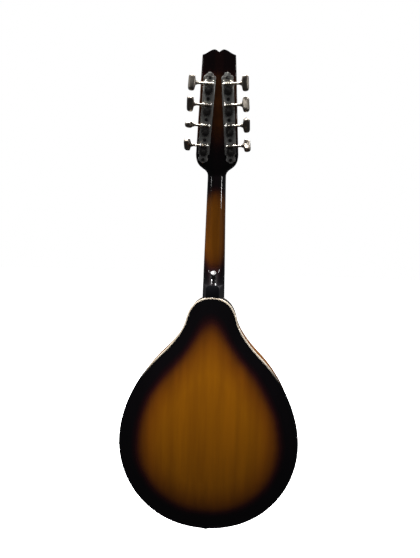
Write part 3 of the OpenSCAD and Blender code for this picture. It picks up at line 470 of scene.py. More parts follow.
def cream_plastic(name, color):
    """Cream plastic, yellowed a little in places."""
    mat = material(name, color, 0.25, specular=0.4)
    aged = tuple(c * f for c, f in zip(color, (0.93, 0.86, 0.72)))
    to_shader(mat, Base_Color=mixed(mat, spread(mat, noise(mat, 25), 0.35, 0.7, 0, 1), color, aged))
    bump(mat, noise(mat, 600), 0.02, 0.15)
    return mat


# How far below the apex the back binding is bare down to, and how far below it the dark finish is full
BARE_BINDING, COVERED_BINDING = 84, 118
AGED_CREAM = (0.44, 0.36, 0.26)


def shaded_binding():
    """Cream binding at the neck and upper bouts, under the dark finish lower down."""
    mat = material("back_binding_finish", BINDING_CREAM, 0.25, coat=0.5, specular=0.3)
    bare = spread(mat, axis_value(mat, "Z"), APEX_Z - COVERED_BINDING, APEX_Z - BARE_BINDING, 0, 1)
    aged = mixed(mat, spread(mat, noise(mat, 25), 0.35, 0.7, 0, 1), BINDING_CREAM, AGED_CREAM)
    to_shader(mat, Base_Color=mixed(mat, bare, SUNBURST[0][1], aged))
    bump(mat, noise(mat, 600), 0.02, 0.15)
    return mat


def pearl_inlay():
    mat = material("pearl_inlay", (0.8, 0.82, 0.8), 0.18, specular=0.7)
    to_shader(
        mat,
        Base_Color=ramp(
            mat, noise(mat, 420, (1, 1, 1), 2),
            [(0.3, (0.62, 0.72, 0.70)), (0.5, (0.86, 0.84, 0.80)), (0.7, (0.72, 0.66, 0.74))],
        ),
    )
    return mat


def metal(name, color, low, high, scale=90.0, dull=0.75, brushed=(1, 1, 1)):
    """Metal with uneven polish between two roughness values, darker where it is dull."""
    mat = material(name, color, low, metallic=1.0)
    worn = noise(mat, scale, brushed, 5, 0.6)
    dark = tuple(c * dull for c in color)
    to_shader(
        mat,
        Base_Color=mixed(mat, spread(mat, worn, 0.35, 0.75, 0, 1), color, dark),
        Roughness=spread(mat, worn, 0.3, 0.75, low, high),
    )
    bump(mat, noise(mat, scale * 9, brushed, 3), 0.01, 0.2)
    return mat


def wound_metal():
    """Bronze winding: fine rings along the string."""
    mat = material("wound_bronze", (0.52, 0.33, 0.17), 0.28, metallic=1.0)
    rings = node(
        mat, "ShaderNodeTexWave", {"Vector": stretched(mat, (1, 1, 1)), "Scale": 1100.0},
        wave_type="BANDS", bands_direction="Z", wave_profile="SIN",
    )
    to_shader(
        mat,
        Base_Color=ramp(mat, rings.outputs["Fac"], [(0.0, (0.20, 0.11, 0.05)), (0.6, (0.58, 0.38, 0.20))]),
    )
    bump(mat, rings.outputs["Fac"], 0.06, 0.6)
    return mat


BACK_LACQUER = burst_lacquer("back_lacquer")
TOP_LACQUER = burst_lacquer("top_lacquer")
RIB_LACQUER = rib_lacquer()
NECK_LACQUER = neck_lacquer()
INNER_WOOD = bare_wood("inner_wood", (0.55, 0.36, 0.18))
EBONY = bare_wood("ebony", (0.012, 0.009, 0.007), 0.5, 0.38)
BLACK_GLOSS = black_gloss()
CREAM = cream_plastic("cream_binding", BINDING_CREAM)
BACK_BINDING = shaded_binding()
BONE = cream_plastic("bone", (0.80, 0.74, 0.58))
PEARL = pearl_inlay()
NICKEL = metal("nickel", (0.66, 0.62, 0.56), 0.16, 0.32)
TUNER_NICKEL = metal("tuner_nickel", (0.36, 0.32, 0.27), 0.30, 0.48, 120)
WORN_NICKEL = metal("worn_nickel", (0.60, 0.60, 0.57), 0.50, 0.64, 160)
DARK_GEAR = metal("dark_gear", (0.10, 0.095, 0.09), 0.36, 0.52, 200)
# Painted shade: a darkened copy of the nickel that stands in for the dark reflections on the strap button
NICKEL_WITH_PAINTED_SHADE = metal("nickel_painted_shade", (0.14, 0.14, 0.14), 0.44, 0.56, 200)
FRET_METAL = metal("fret_metal", (0.66, 0.63, 0.57), 0.14, 0.28, 200)
STEEL = metal("plain_steel", (0.62, 0.62, 0.62), 0.16, 0.3, 300)
ROD_STEEL = metal("rod_steel", (0.22, 0.22, 0.23), 0.35, 0.5)
BRASS = metal("brass", (0.66, 0.45, 0.17), 0.18, 0.34, 150)
WOUND = wound_metal()


# ---- Body ----

# The half outline as four cubic curves: share of the length below the apex, share of the half width
OUTLINE = [
    [(0, 0), (0, 0.193), (0.05, 0.255), (0.1, 0.287)],
    [(0.1, 0.287), (0.15, 0.319), (0.211, 0.453), (0.252, 0.563)],
    [(0.252, 0.563), (0.347, 0.818), (0.492, 1), (0.627, 1)],
    [(0.627, 1), (0.815, 1), (1, 0.626), (1, 0)],
]
OUTLINE_STEPS = [20, 16, 24, 34]
CARVE_CENTRE = 0.575
BURST_DEPTH = 60.0  # from the body's edge to where the amber is full
RIB_T = 2.2
PLATE_GAP = 0.05  # between a plate and its binding
BINDING_ROUND = 0.9
ARCH_POWER, ARCH_FILL = 1.35, 0.35  # how late the arch rises from its edge, and how full it is on the way
# Shares of the way from a plate's middle to its edge, closer together at the edge
PLATE_SHARES = np.concatenate([np.linspace(0.02, 0.94, 44), [0.965, 0.985, 1.0]])
HOLLOW_SHARE = 0.95  # the hollow's edge against the plate's
PLATE_THIN = 0.3


def cubic(points, t):
    a, b, c, d = (np.array(p, float) for p in points)
    return (1 - t) ** 3 * a + 3 * (1 - t) ** 2 * t * b + 3 * (1 - t) * t * t * c + t**3 * d


def body_outline():
    """The body's outline as (x, z) points, all the way round from the apex down the +X side."""
    half = []
    for points, steps in zip(OUTLINE, OUTLINE_STEPS):
        for i in range(steps):
            down, out = cubic(points, i / steps)
            half.append((out * HALF_W, APEX_Z - down * BODY_LEN))
    return half + [(0, TAIL_Z)] + [(-x, z) for x, z in reversed(half[1:])]


RIM = np.array(body_outline())


def inset(distance):
    """The outline moved inwards by a distance."""
    ahead, behind = np.roll(RIM, -1, 0), np.roll(RIM, 1, 0)
    along = ahead - behind
    along /= np.linalg.norm(along, axis=1)[:, None]
    return RIM + distance * np.stack([along[:, 1], -along[:, 0]], 1)


class PlateField:
    """Smooth fields over the body's outline, zero at its edge: `swell` is a membrane blown up by pressure,
    and `burst` levels off within a short reach of the edge."""

    STEP = 2.5
    REACH = 15.0

    def __init__(self, edge):
        step = self.STEP
        self.low = edge.min(0) - 2 * step
        counts = np.ceil((edge.max(0) + 2 * step - self.low) / step).astype(int) + 1
        xs, zs = (self.low[k] + step * np.arange(counts[k]) for k in (0, 1))
        px, pz = np.meshgrid(xs, zs, indexing="ij")
        inside = np.zeros(px.shape, bool)
        for (x0, z0), (x1, z1) in zip(edge, np.roll(edge, -1, 0)):
            crosses = (z0 > pz) != (z1 > pz)
            with np.errstate(divide="ignore", invalid="ignore"):
                inside ^= crosses & (px < (x1 - x0) * (pz - z0) / (z1 - z0) + x0)
        self.swell = self.solve(inside, 0.0, 9000)
        self.swell /= self.swell.max()
        self.burst = self.solve(inside, (step / self.REACH) ** 2, 900)
        self.burst /= self.burst.max()

    @staticmethod
    def solve(inside, sink, rounds):
        field = np.zeros(inside.shape)
        for _ in range(rounds):
            total = field[2:, 1:-1] + field[:-2, 1:-1] + field[1:-1, 2:] + field[1:-1, :-2]
            field[1:-1, 1:-1] = np.where(inside[1:-1, 1:-1], (total + 1) / (4 + sink), 0)
        return field

    def at(self, field, points):
        """The field at (x, z) points, between its grid's values."""
        q = (np.asarray(points) - self.low) / self.STEP
        cell = np.clip(np.floor(q).astype(int), 0, np.array(field.shape) - 2)
        t = q - cell
        i, j = cell[:, 0], cell[:, 1]
        near = field[i, j] * (1 - t[:, 1]) + field[i, j + 1] * t[:, 1]
        far = field[i + 1, j] * (1 - t[:, 1]) + field[i + 1, j + 1] * t[:, 1]
        return near * (1 - t[:, 0]) + far * t[:, 0]


FIELD = PlateField(inset(BINDING_W))


def arch(points):
    """The carving's height at (x, z) points, from 0 at the edge's flat recurve to 1 at the middle."""
    swell = np.clip(FIELD.at(FIELD.swell, points), 0, 1)
    return swell**ARCH_POWER * (1 + ARCH_FILL * (1 - swell))


def plate_rings(edge, shares):
    centre = np.array([0, APEX_Z - CARVE_CENTRE * BODY_LEN])
    return [centre + (edge - centre) * f for f in shares]


def carved_plate(name, mat, glue_y, way, rise):
    """A carved plate: outer face, edge and hollow, as one closed shell."""
    edge = inset(BINDING_W + PLATE_GAP)
    rings = []
    for ring in plate_rings(edge, PLATE_SHARES):
        heights = EDGE_T + rise * arch(ring)
        rings.append([(x, glue_y + way * h, z) for (x, z), h in zip(ring, heights)])
    rings.append([(x, glue_y, z) for x, z in edge])
    for ring in plate_rings(edge, PLATE_SHARES[::-3] * HOLLOW_SHARE):
        heights = np.maximum(rise * arch(ring) - PLATE_THIN, 0.4)
        rings.append([(x, glue_y + way * h, z) for (x, z), h in zip(ring, heights)])
    return add_piece(name, loft(rings), mat, 50)


def paint_burst(piece):
    """Stores the burst value of every point on the plate's mesh."""
    mesh = piece.data
    points = [(v.co.x / MM, v.co.z / MM) for v in mesh.vertices]
    values = FIELD.at(FIELD.burst, points)
    layer = mesh.attributes.new("burst", "FLOAT", "POINT")
    layer.data.foreach_set("value", burst_scale(values).astype(np.float32))


def burst_scale(values):
    """Turns the levelled field into a share of the way from the black edge to the amber middle."""
    depth = -np.log(np.clip(1 - values, 1e-3, 1)) * FIELD.REACH
    return np.clip(depth / BURST_DEPTH, 0, 1)


HOLE_X, HOLE_Z = 0.58 * HALF_W, APEX_Z - 0.5 * BODY_LEN
HOLE_LEN = 88
HOLE_SLANT, HOLE_SWAY = 5, 7.5
HOLE_END_HALF_W, HOLE_BELLY = 1.1, 1.5
HOLE_TOP_R, HOLE_BOTTOM_R = 3.6, 4.1
HOLE_CUT_MARGIN = 3


def sound_hole(side):
    """An S-shaped slot between two round ends, as (x, z) outlines."""
    left, right = [], []
    for t in np.linspace(0, 1, 33):
        s = 2 * t - 1
        x = HOLE_X + HOLE_SLANT * s + HOLE_SWAY * math.sin(math.pi * s)
        z = HOLE_Z - s * HOLE_LEN / 2
        half = HOLE_END_HALF_W + HOLE_BELLY * math.sin(math.pi * t)
        left.append((side * (x - half), z))
        right.append((side * (x + half), z))
    ends = [(left[0], right[0], HOLE_TOP_R, 1), (left[-1], right[-1], HOLE_BOTTOM_R, -1)]
    discs = []
    for a, b, r, way in ends:
        x, z = (a[0] + b[0]) / 2 + side * way * (r - HOLE_END_HALF_W), a[1]
        angles = np.linspace(0, 2 * math.pi, 33)[:-1]
        discs.append([(x + r * math.cos(k), z + r * math.sin(k)) for k in angles])
    return [left + right[::-1], *discs]


def make_body():
    back = carved_plate("back_plate_visual", BACK_LACQUER, BACK_GLUE_Y, 1, BACK_RISE)
    paint_burst(back)
    attach(back, "body", "back_wood", "back_plate")
    top = carved_plate("soundboard_visual", TOP_LACQUER, TOP_GLUE_Y, -1, TOP_RISE)
    for side in (-1, 1):
        for k, outline in enumerate(sound_hole(side)):
            through = slab(outline, FRONT_Y - TOP_RISE - HOLE_CUT_MARGIN, TOP_GLUE_Y + HOLE_CUT_MARGIN)
            cut(top, add_piece(f"hole_{side}_{k}", through, CREAM), "DIFFERENCE")
    smooth(top, 50)
    paint_burst(top)
    attach(top, "body", "top_wood", "soundboard")
    for name, side in (("bass_rib", -1), ("treble_rib", 1)):
        half = [i for i in range(len(RIM)) if side * RIM[i][0] >= -1e-6]
        inner = inset(RIB_T)
        order = half if side > 0 else half[1:] + half[:1]
        corners = ((RIM, TOP_GLUE_Y), (RIM, BACK_GLUE_Y), (inner, BACK_GLUE_Y), (inner, TOP_GLUE_Y))
        rings = [[(edge[i][0], y, edge[i][1]) for edge, y in corners] for i in order]
        attach(add_piece(f"{name}_visual", loft(rings), RIB_LACQUER), "body", "back_wood", name)
    make_binding("top_binding", FRONT_Y, TOP_GLUE_Y, -1, CREAM)
    make_binding("back_binding", BACK_Y, BACK_GLUE_Y, 1, BACK_BINDING)


def make_binding(name, face_y, glue_y, way, mat):
    """A strip along the body's edge, with its outer corner rounded."""
    r = BINDING_ROUND
    profile = [(0, glue_y)]
    profile += [
        (r - r * math.cos(a), face_y - way * (r - r * math.sin(a))) for a in np.linspace(0, math.pi / 2, 6)
    ]
    profile += [(BINDING_W, face_y), (BINDING_W, glue_y)]
    loops = [[(x, y, z) for x, z in inset(d)] for d, y in profile]
    attach(add_piece(f"{name}_visual", loft(loops, closed=True), mat), "body", "binding", name)


# ---- Neck and headstock ----

NECK_D = 14.0
NECK_D_GROWTH = 1.5  # from the nut to the heel's sweep
NECK_JOINT_HALF_W = 16.5
NECK_ROUND = 2.25  # powers of the neck's and the headstock's sections
HEAD_ROUND = 14
# The sections turn from the neck's direction to the headstock's over this reach, which starts below the nut
LEAN_START, LEAN_REACH = 10, 32
HEAD_T = 14.0
SWEEP_LEN = 31.0
TONGUE_LEN = 26.0
TONGUE_GAP = 2.4
HEEL_CAP_T = 2.0
CAP_S = JOINT_S - HEEL_LEN
SWEEP_S = CAP_S - SWEEP_LEN
EAR_V = 30.0
HEAD_LOW = low_high("headstock_overlay")[1].x
HEAD_TOP_HALF = 22.0
HEAD_LEN = 161.8
CORNER_V = HEAD_LEN - 6.2
NOTCH_V = HEAD_LEN - 3.0
PEAK_X = 6.2
THROAT = [(NUT_HALF_W, 0), (NUT_HALF_W + 1, 12), (HEAD_LOW, 7), (HEAD_LOW, EAR_V)]


def ease(t):
    t = min(1.0, max(0.0, t))
    return t * t * (3 - 2 * t)


def neck_half_w(s):
    return NUT_HALF_W + (NECK_JOINT_HALF_W - NUT_HALF_W) * s / JOINT_S


def heel_depth(s):
    return (BACK_Y - HEEL_CAP_T + s * math.sin(NECK_ANGLE)) / math.cos(NECK_ANGLE)


def sweep_share(s):
    return min(1.0, max(0.0, (s - SWEEP_S) / SWEEP_LEN))


def neck_depth(s):
    start = NECK_D + NECK_D_GROWTH * min(1.0, max(0.0, s) / SWEEP_S)
    q = sweep_share(s)
    if q >= 1:
        return heel_depth(s)
    return start + (heel_depth(CAP_S) - start) * (1 - math.sqrt(1 - q * q))


def cap_half_w(s):
    q = min(1.0, max(0.0, (s - CAP_S) / 6))
    return HEEL_HALF_W * (0.45 + 0.55 * math.sqrt(1 - (1 - q) ** 2))


def section(half_w, depth, power, heel=0.0, back_w=0.3, count=46):
    """Half-round section behind the glue face: power 2 is an ellipse and a high one a rounded slab.
    heel blends it towards straight sides that narrow to back_w."""
    points = []
    for a in np.linspace(0, math.pi, count):
        c, s = math.cos(a), math.sin(a)
        x = half_w * math.copysign(abs(c) ** (2 / power), c)
        y = depth * abs(s) ** (2 / power)
        straight = half_w + (back_w - half_w) * y / depth
        straight = math.copysign(straight, c) if abs(c) > 1e-6 else 0
        points.append((x + (straight - x) * heel, y))
    return points


def neck_rings():
    rings = []
    head_stations = [(EAR_V + (CORNER_V + 8 - EAR_V) * t) for t in np.linspace(1, 0, 12)[:-1]]
    for v in head_stations:
        w = HEAD_LOW + (HEAD_TOP_HALF + 0.4 - HEAD_LOW) * (v - EAR_V) / (CORNER_V - 3 - EAR_V)
        rings.append([from_head((x, y, v)) for x, y in section(w, HEAD_T, HEAD_ROUND)])
    for t in np.linspace(1, 0, 22):
        w, v = cubic(THROAT, t)
        lean = HEAD_LEAN * ease((v + NUT_T + LEAN_START) / LEAN_REACH)
        power = NECK_ROUND + (HEAD_ROUND - NECK_ROUND) * ease((v - 4) / 27) ** 1.5
        start = turned((0, 0, v), -HEAD_LEAN) + Vector((0, 0, NUT_T))
        rings.append([from_neck(start + turned((x, y, 0), -lean)) for x, y in section(w, HEAD_T, power)])
    for s in (-2.5, 0, 2.5, 5, 8, 12, 17, 23, 30, 40, 55, 70, 85, 100, 112):
        lean = HEAD_LEAN * ease((LEAN_START - s) / LEAN_REACH)
        shape = section(neck_half_w(max(0, s)), neck_depth(s), NECK_ROUND)
        rings.append([from_neck(Vector((0, 0, -s)) + turned((x, y, 0), -lean)) for x, y in shape])
    stations = [SWEEP_S + SWEEP_LEN * math.sin(a) for a in np.linspace(0.12, math.pi / 2, 22)]
    stations += [CAP_S + d for d in (0.3, 0.8, 1.5, 2.5, 4, 6, 9, HEEL_LEN, HEEL_LEN + TONGUE_LEN)]
    for s in stations:
        q = sweep_share(s)
        back_w = max(0.3, q * q * cap_half_w(s))
        shape = section(neck_half_w(s), neck_depth(s), NECK_ROUND, q * q, back_w)
        rings.append([from_neck((x, y, -s)) for x, y in shape])
    return rings


def head_outline():
    """The headstock's outline above its ears as (x, v) points, with straight sides below."""
    half = [(HEAD_LOW + 8, -60), (HEAD_LOW + 8, CORNER_V - 30), (HEAD_TOP_HALF + 0.6, CORNER_V - 3)]
    half.append((HEAD_TOP_HALF, CORNER_V))
    ogee = [
        (HEAD_TOP_HALF, CORNER_V), (HEAD_TOP_HALF - 6.5, CORNER_V + 1),
        (PEAK_X + 5, HEAD_LEN), (PEAK_X, HEAD_LEN),
    ]
    notch = [(PEAK_X, HEAD_LEN), (PEAK_X - 2.4, HEAD_LEN), (2, NOTCH_V + 1.2), (0, NOTCH_V)]
    half += [tuple(cubic(ogee, t)) for t in np.linspace(0, 1, 15)[1:]]
    half += [tuple(cubic(notch, t)) for t in np.linspace(0, 1, 9)[1:]]
    return half + [(-x, v) for x, v in reversed(half[:-1])]


def make_neck():
    neck = add_piece("neck_visual", loft(neck_rings()), NECK_LACQUER, 40)
    outline = head_outline()
    keep = add_piece(
        "head_keep",
        loft([[from_head((x, y, v)) for x, v in outline] for y in (-30, 60)]), CREAM,
    )
    below = slab([(-60, 30), (60, 30), (60, -260), (-60, -260)], -60, 90)
    cut(keep, add_piece("below_keep", below, CREAM), "UNION")
    cut(neck, keep, "INTERSECT")
    inside = add_piece("inside_body", slab(inset(0.2), FRONT_Y - TONGUE_GAP, BACK_Y + 30), CREAM)
    cut(neck, inside, "DIFFERENCE")
    smooth(neck, 38)
    return attach(neck, "body", "neck_wood", "neck")


# ---- Tuners ----

GEAR_TEETH = 14
GEAR_R = 5.6
WORM_R = 2.5
MESH_D = GEAR_R + WORM_R
WORM_Y = 4.4
WORM_LEAD = 2 * math.pi * GEAR_R / GEAR_TEETH
WORM_LEN = 3 * WORM_LEAD
SHAFT_R = 1.6
BUTTON_REACH = 17.5
PLATE_T = 1.2
LUG_X = WORM_LEN / 2 + 1.0
# Where each button rests in its turn: tuners 1 to 4 are on the bass side, 5 to 8 on the treble side
BUTTON_TURNS = [-4, 24, -30, 48, 6, -24, 86, -52]


def worm_part():
    """A single-start thread that matches the gear's teeth, along X about the shaft's line."""
    profile = [1, 1, 0.62, 0.15, 0, 0, 0]
    rings = []
    for x in np.linspace(-WORM_LEN / 2, WORM_LEN / 2, 61):
        ring = []
        for a in np.linspace(0, 2 * math.pi, 24, endpoint=False):
            turn = (a - 2 * math.pi * (x + WORM_LEN / 2) / WORM_LEAD) % (2 * math.pi)
            turn = min(turn, 2 * math.pi - turn) / math.radians(30)
            k = min(5, int(turn))
            share = profile[k] + (profile[k + 1] - profile[k]) * (turn - k)
            r = WORM_R - 0.7 + 1.2 * share
            ring.append((x, r * math.sin(a), -r * math.cos(a)))
        rings.append(ring)
    return loft(rings)


def shaft_part():
    """The shaft from the inner bearing to the button, with a collar outside the outer bearing."""
    inner = -LUG_X - 1.5
    profile = [
        (0, inner), (SHAFT_R - 0.3, inner), (SHAFT_R, inner + 0.3), (SHAFT_R, LUG_X + 0.8),
        (SHAFT_R + 0.7, LUG_X + 1.0), (SHAFT_R + 0.7, LUG_X + 1.9), (SHAFT_R, LUG_X + 2.2),
        (SHAFT_R, BUTTON_REACH - 3.4), (SHAFT_R + 0.15, BUTTON_REACH - 2.2),
        (SHAFT_R + 0.9, BUTTON_REACH - 0.6), (SHAFT_R + 1.3, BUTTON_REACH + 0.8), (0, BUTTON_REACH + 1.2),
    ]
    points, faces = lathe(profile, 32)
    return [(z, x, y) for x, y, z in points], faces


# The button as (distance out from the shaft's end, half width, half thickness)
BUTTON_SHAPE = [
    (-0.2, 2.2, 2.2), (0.7, 3.0, 2.8), (1.4, 5.6, 3.5), (1.9, 8.0, 3.9), (2.5, 9.2, 4.15), (3.4, 9.85, 4.25),
    (5.0, 10.15, 4.25), (6.8, 10.2, 4.1), (8.3, 9.9, 3.7), (9.4, 9.3, 3.1), (10.1, 8.3, 2.3),
    (10.5, 6.4, 1.3),
]


def button_part(turn):
    """A tulip button: flat cut ends, a convex outer side and an inner side that tapers to the shaft."""
    rings = []
    for x, half, thick in BUTTON_SHAPE:
        power = 2 + 4.2 * ease((half - 3) / 5)
        ring = []
        for a in np.linspace(0, 2 * math.pi, 48, endpoint=False):
            c, s = math.cos(a), math.sin(a)
            z = half * math.copysign(abs(c) ** (2 / power), c)
            y = thick * math.copysign(abs(s) ** (2 / 2.6), s)
            ring.append((BUTTON_REACH + x, y, z))
        rings.append(ring)
    points, faces = loft(rings)
    return [(p[0], *turned((0, p[1], p[2]), turn)[1:]) for p in points], faces


def make_tuner(number):
    place = tuner_place(number)
    shaft_place = Place(place.point((0, WORM_Y, MESH_D)), *place.axes)
    body = f"tuner_knob_{number}"
    turn = math.radians(BUTTON_TURNS[number - 1])
    part = joined(*(shaft_place.put(p) for p in (worm_part(), shaft_part(), button_part(turn))))
    attach(add_piece(f"{body}_visual", part, TUNER_NICKEL), body, "nickel", body)


# Rivet profile of (radius, height), and the ridges round each plate's lobes: the lobe's middle, up from the
# nearest post, and the radii of its ridges
RIVET = [(0, 0.9), (0.5, 0.85), (0.95, 0.6), (1.2, 0.2), (1.25, -0.1), (0, -0.1)]
RIVET_Z = MESH_D + 3.9
TOP_LOBE = (18.0, (2.6, 3.5, 4.4))
BOTTOM_LOBE = (-10.7, (2.5, 3.3))
SIDE_LOBE_X = 4.7
SIDE_LOBE = (15.6, (1.5, 2.6))
RIDGE_R = 0.2


def ridge(place, x, z, way, radius, past, steps):
    """A raised arc on the plate about (x, z), running past the half circle by an angle at both ends."""
    angles = np.linspace(-past, math.pi + past, steps)
    path = [(x + radius * math.cos(a), PLATE_T - 0.02, z + way * radius * math.sin(a)) for a in angles]
    return place.put(tube(path, RIDGE_R, 8))


def make_plate_details(side):
    """Rivets at the bearing lugs and ridges that follow the plate's scalloped ends."""
    first = 1 if side < 0 else 5
    name = "bass" if side < 0 else "treble"
    parts = []
    for number in range(first, first + 4):
        place = tuner_place(number)
        for x in (-LUG_X, LUG_X):
            points, faces = lathe(RIVET, 20)
            points = [(x + p[0], PLATE_T + p[2], RIVET_Z + p[1]) for p in points]
            parts.append(place.put((points, faces)))
    top, bottom = tuner_place(first), tuner_place(first + 3)
    for place, (centre, radii), way in ((top, TOP_LOBE, 1), (bottom, BOTTOM_LOBE, -1)):
        parts += [ridge(place, 0, centre, way, radius, 0.3, 26) for radius in radii]
    for x in (-SIDE_LOBE_X, SIDE_LOBE_X):
        parts += [ridge(top, x, SIDE_LOBE[0], 1, radius, 0.6, 20) for radius in SIDE_LOBE[1]]
    piece = add_piece(f"tuner_plate_{name}_ornament", joined(*parts), NICKEL)
    attach(piece, "body", "nickel")


# ---- Strings ----

STRING_R = {"g": 0.5, "d": 0.36, "a": 0.2, "e": 0.14}
COURSE_GAP = 2.6
NUT_SPREAD, SADDLE_SPREAD, HOOK_SPREAD = 21.6, 40.0, 24.8
SCALE_LENGTH = 343.0
HOOK_Z, HOOK_ROW, HOOK_R = TAIL_Z + 16, 7.0, 0.9
HOOK_Y = FRONT_Y - 7.0 - 1.2 - 1.2
POST_R = 3.0
WAIST_R = POST_R - 0.5
WIND_Y = -22.25
NUT_SLOT_Y = -6.4
SADDLE_TOP_Y = NUT_SLOT_Y - 1.5 / JOINT_S * SCALE_LENGTH
STRING_CLEAR = 0.02  # over the saddle
HOOK_CLEAR = 0.1
POST_TURNS = 3
TURN_PITCH = 2.1  # in string radii, so the turns lie side by side
TURNS_BEFORE = 0.8  # turns nearer the post's end than the winding's middle


def string_x(course, pair, spread):
    inward = (1, 0, 0, -1)[course]
    return -spread / 2 + spread * course / 3 + (inward + (1 if pair else -1)) * COURSE_GAP / 2


def post_number(course, pair):
    """The outer courses go to the lower posts, the inner ones to the upper posts."""
    return (4 - pair, 2 - pair, 5 + pair, 7 + pair)[course]


def make_strings():
    """Each string has a line from its hook to the saddle, one from there over the nut to its post, and turns
    round the post. The turns ride on the post."""
    for course, letter in enumerate("gdae"):
        r = STRING_R[letter]
        mat, slot = (WOUND, "wound_string") if letter in "gd" else (STEEL, "plain_string")
        behind, speaking = [], []
        for pair in (0, 1):
            number = post_number(course, pair)
            place = tuner_place(number)
            saddle_x, nut_x, hook_x = (
                string_x(course, pair, spread) for spread in (SADDLE_SPREAD, NUT_SPREAD, HOOK_SPREAD)
            )
            saddle = from_neck((saddle_x, SADDLE_TOP_Y - r - STRING_CLEAR, -SCALE_LENGTH))
            nut = [from_neck((nut_x, NUT_SLOT_Y - r, z)) for z in (-0.5, NUT_T + 0.5)]
            hook = Vector((hook_x, HOOK_Y, HOOK_Z + pair * HOOK_ROW + HOOK_R + r + HOOK_CLEAR))
            reach = WAIST_R + r
            behind.append(tube([hook + (saddle - hook) * f for f in np.linspace(0, 1, 24)], r, 10))
            line = [saddle + (nut[0] - saddle) * f for f in np.linspace(0, 1, 40)]
            speaking.append(tube(line + [nut[1], place.point((-reach, WIND_Y - 1.6 * r, -1))], r, 10))
            coil = []
            for a in np.linspace(0, POST_TURNS * math.tau, 84):
                along = WIND_Y + (a / math.tau - TURNS_BEFORE) * TURN_PITCH * r
                coil.append((-reach * math.cos(a), along, -(1 - min(1, a)) + reach * math.sin(a)))
            turns = add_piece(f"string_turns_{number}", place.put(tube(coil, r, 8)), mat, 60)
            attach(turns, f"string_post_{number}", slot)
        name = f"string_{letter}"
        for end, part, start in (("behind", behind, hook), ("speaking", speaking, nut[0])):
            piece = add_piece(f"{name}_{end}", joined(*part), mat, 60)
            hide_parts(f"string_course_{letter}")
            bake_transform(piece)


# ---- Carried-over nodes ----

REFINED = {
    "heel_cap": (BLACK_GLOSS, 0.5), "fretboard": (EBONY, 0.35), "nut": (BONE, 0.35),
    "headstock_overlay": (BLACK_GLOSS, 0.4), "truss_rod_cover": (BLACK_GLOSS, 0.3),
    "tuner_plate_bass": (WORN_NICKEL, 0.2), "tuner_plate_treble": (WORN_NICKEL, 0.2),
    "tuner_plate_screws": (DARK_GEAR, 0.2), "truss_cover_screws": (NICKEL, 0.15),
    "post_bushings": (NICKEL, 0.3),
    "bridge_base": (EBONY, 0.5), "tailpiece_base": (NICKEL, 0.3), "tailpiece_screws": (NICKEL, 0.2),
    # The strap button wears the darkened nickel, which is painted shade
    "end_pin": (NICKEL, 0.2), "heel_strap_button": (NICKEL_WITH_PAINTED_SHADE, 0.5),
    "heel_button_screw": (DARK_GEAR, 0.2), "frets": (FRET_METAL, 0.12),
}
MOVING_REFINED = {
    "saddle": (EBONY, 0.4), "thumbwheel_bass": (BRASS, 0.2), "thumbwheel_treble": (BRASS, 0.2),
    "tailpiece_cover": (NICKEL, 0.6), "truss_rod_nut": (BRASS, 0.3),
}
PAINTED = {
    "neck_block": INNER_WOOD, "tail_block": INNER_WOOD, "top_linings": INNER_WOOD, "back_linings": INNER_WOOD,
    "tone_bars": INNER_WOOD, "position_dots": PEARL, "truss_rod": ROD_STEEL, "bridge_posts": BRASS,
}


def make_carried_over():
    """The CAD solids that stay: most with rounded edges, the rest with only a material. The string posts are
    dark where they are gear and bright where they are post."""
    for name, (mat, width) in REFINED.items():
        refined(name, mat, width)
    for name, (mat, width) in MOVING_REFINED.items():
        refined(name, mat, width, body=name)
    for name, mat in PAINTED.items():
        frame["nodes"][name].data.materials[0] = mat
    for number in range(1, 9):
        name = f"string_post_{number}"
        post = refined(name, NICKEL, 0.15, body=name)
        post.data.materials.append(DARK_GEAR)
        origin = tuner_place(number).origin
        for face in post.data.polygons:
            face.material_index = int((face.center / MM - origin).dot(HEAD_BACK) > PLATE_T / 2)


# ---- Floor, light and camera ----

FLOOR_DROP = 180.0
FLOOR_HALF = 20000.0
FLOOR_GLOW = 0.75
# The room's light from the horizon and below, straight above, and between them
ROOM = [(0.0, (0.03, 0.03, 0.032)), (1.0, (1.0, 1.0, 1.0)), (0.4, (0.10, 0.10, 0.11))]
# Name, place, target, width, height and power of each lamp
LAMPS = [
    ("above", (320, 350, 1500), (0, 0, -250), 900, 300, 135),
    ("left", (1300, 700, 250), (0, 0, -200), 60, 260, 1.2),
    ("right", (-1300, 700, 150), (0, 0, -200), 60, 260, 2.5),
    ("front", (-300, -900, 1100), (0, 0, -250), 900, 300, 60),
]


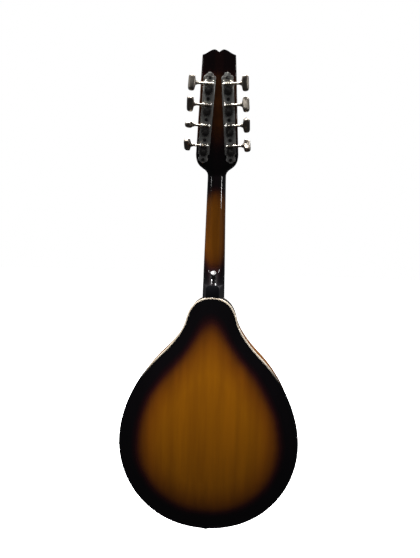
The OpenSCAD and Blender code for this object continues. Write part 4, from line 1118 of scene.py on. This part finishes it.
def make_stage():
    """A pale floor and soft lights, under a sky that is white to the camera and a dim room to other rays."""
    floor_z = TAIL_Z - FLOOR_DROP
    points = [(x, y, floor_z) for x in (-FLOOR_HALF, FLOOR_HALF) for y in (-FLOOR_HALF, FLOOR_HALF)]
    faces = [[0, 2, 3, 1]]
    mat = material("pale_floor", (0.86, 0.86, 0.86), 0.9, specular=0.1)
    to_shader(mat, Roughness=spread(mat, noise(mat, 30), 0.3, 0.7, 0.85, 0.95))
    shader = mat.node_tree.nodes["Principled BSDF"]
    shader.inputs["Emission Color"].default_value = (1, 1, 1, 1)
    shader.inputs["Emission Strength"].default_value = FLOOR_GLOW
    floor = add_piece("floor", (points, faces), mat, 80)

    world = bpy.data.worlds.new("studio")
    scene.world = world
    world.use_nodes = True
    nodes, links = world.node_tree.nodes, world.node_tree.links
    sky = nodes["Background"]
    sky.inputs["Color"].default_value = (1, 1, 1, 1)
    room = nodes.new("ShaderNodeBackground")
    rays, either = nodes.new("ShaderNodeLightPath"), nodes.new("ShaderNodeMixShader")
    heights = nodes.new("ShaderNodeSeparateXYZ")
    links.new(nodes.new("ShaderNodeTexCoord").outputs["Generated"], heights.inputs["Vector"])
    shades = nodes.new("ShaderNodeValToRGB")
    links.new(heights.outputs["Z"], shades.inputs["Fac"])
    elements = shades.color_ramp.elements
    for element, (position, color) in zip((*elements, elements.new(0.5)), ROOM):
        element.position, element.color = position, (*color, 1)
    links.new(shades.outputs["Color"], room.inputs["Color"])
    links.new(rays.outputs["Is Camera Ray"], either.inputs["Fac"])
    links.new(room.outputs["Background"], either.inputs[1])
    links.new(sky.outputs["Background"], either.inputs[2])
    links.new(either.outputs["Shader"], nodes["World Output"].inputs["Surface"])
    floor.visible_glossy = floor.visible_diffuse = False
    for lamp in LAMPS:
        add_light(*lamp)


def add_light(name, place, target, width, height, power):
    data = bpy.data.lights.new(name, "AREA")
    data.shape, data.size, data.size_y, data.energy = "RECTANGLE", width * MM, height * MM, power
    lamp = bpy.data.objects.new(name, data)
    scene.collection.objects.link(lamp)
    lamp.location = Vector(place) * MM
    lamp.rotation_euler = (Vector(target) - Vector(place)).to_track_quat("-Z", "Y").to_euler()


CAMERA_PLACE = (-21.0, 616.5, -122.7)
CAMERA_PITCH = math.radians(2.2)
CAMERA_YAW = math.radians(2.45)
CAMERA_ROLL = math.radians(1.79)
CAMERA_LENS = 27.0


def make_camera():
    """Behind the instrument, a little above its middle, looking slightly down with a small roll."""
    data = bpy.data.cameras.new("camera")
    data.sensor_width, data.lens = 36, CAMERA_LENS
    camera = bpy.data.objects.new("camera", data)
    scene.collection.objects.link(camera)
    level_ahead = Vector((math.sin(CAMERA_YAW), -math.cos(CAMERA_YAW), 0)) * math.cos(CAMERA_PITCH)
    ahead = level_ahead - Vector((0, 0, math.sin(CAMERA_PITCH)))
    level = ahead.cross(Vector((0, 0, 1))).normalized()
    above = level.cross(ahead)
    right = level * math.cos(CAMERA_ROLL) + above * math.sin(CAMERA_ROLL)
    up = above * math.cos(CAMERA_ROLL) - level * math.sin(CAMERA_ROLL)
    turn = Matrix((right, up, -ahead)).transposed().to_4x4()
    camera.matrix_world = Matrix.Translation(Vector(CAMERA_PLACE) * MM) @ turn
    scene.camera = camera
    scene.view_settings.view_transform = "Standard"


make_camera()
make_stage()
make_body()
make_neck()
make_carried_over()
for number in range(1, 9):
    make_tuner(number)
for side in (-1, 1):
    make_plate_details(side)
make_strings()
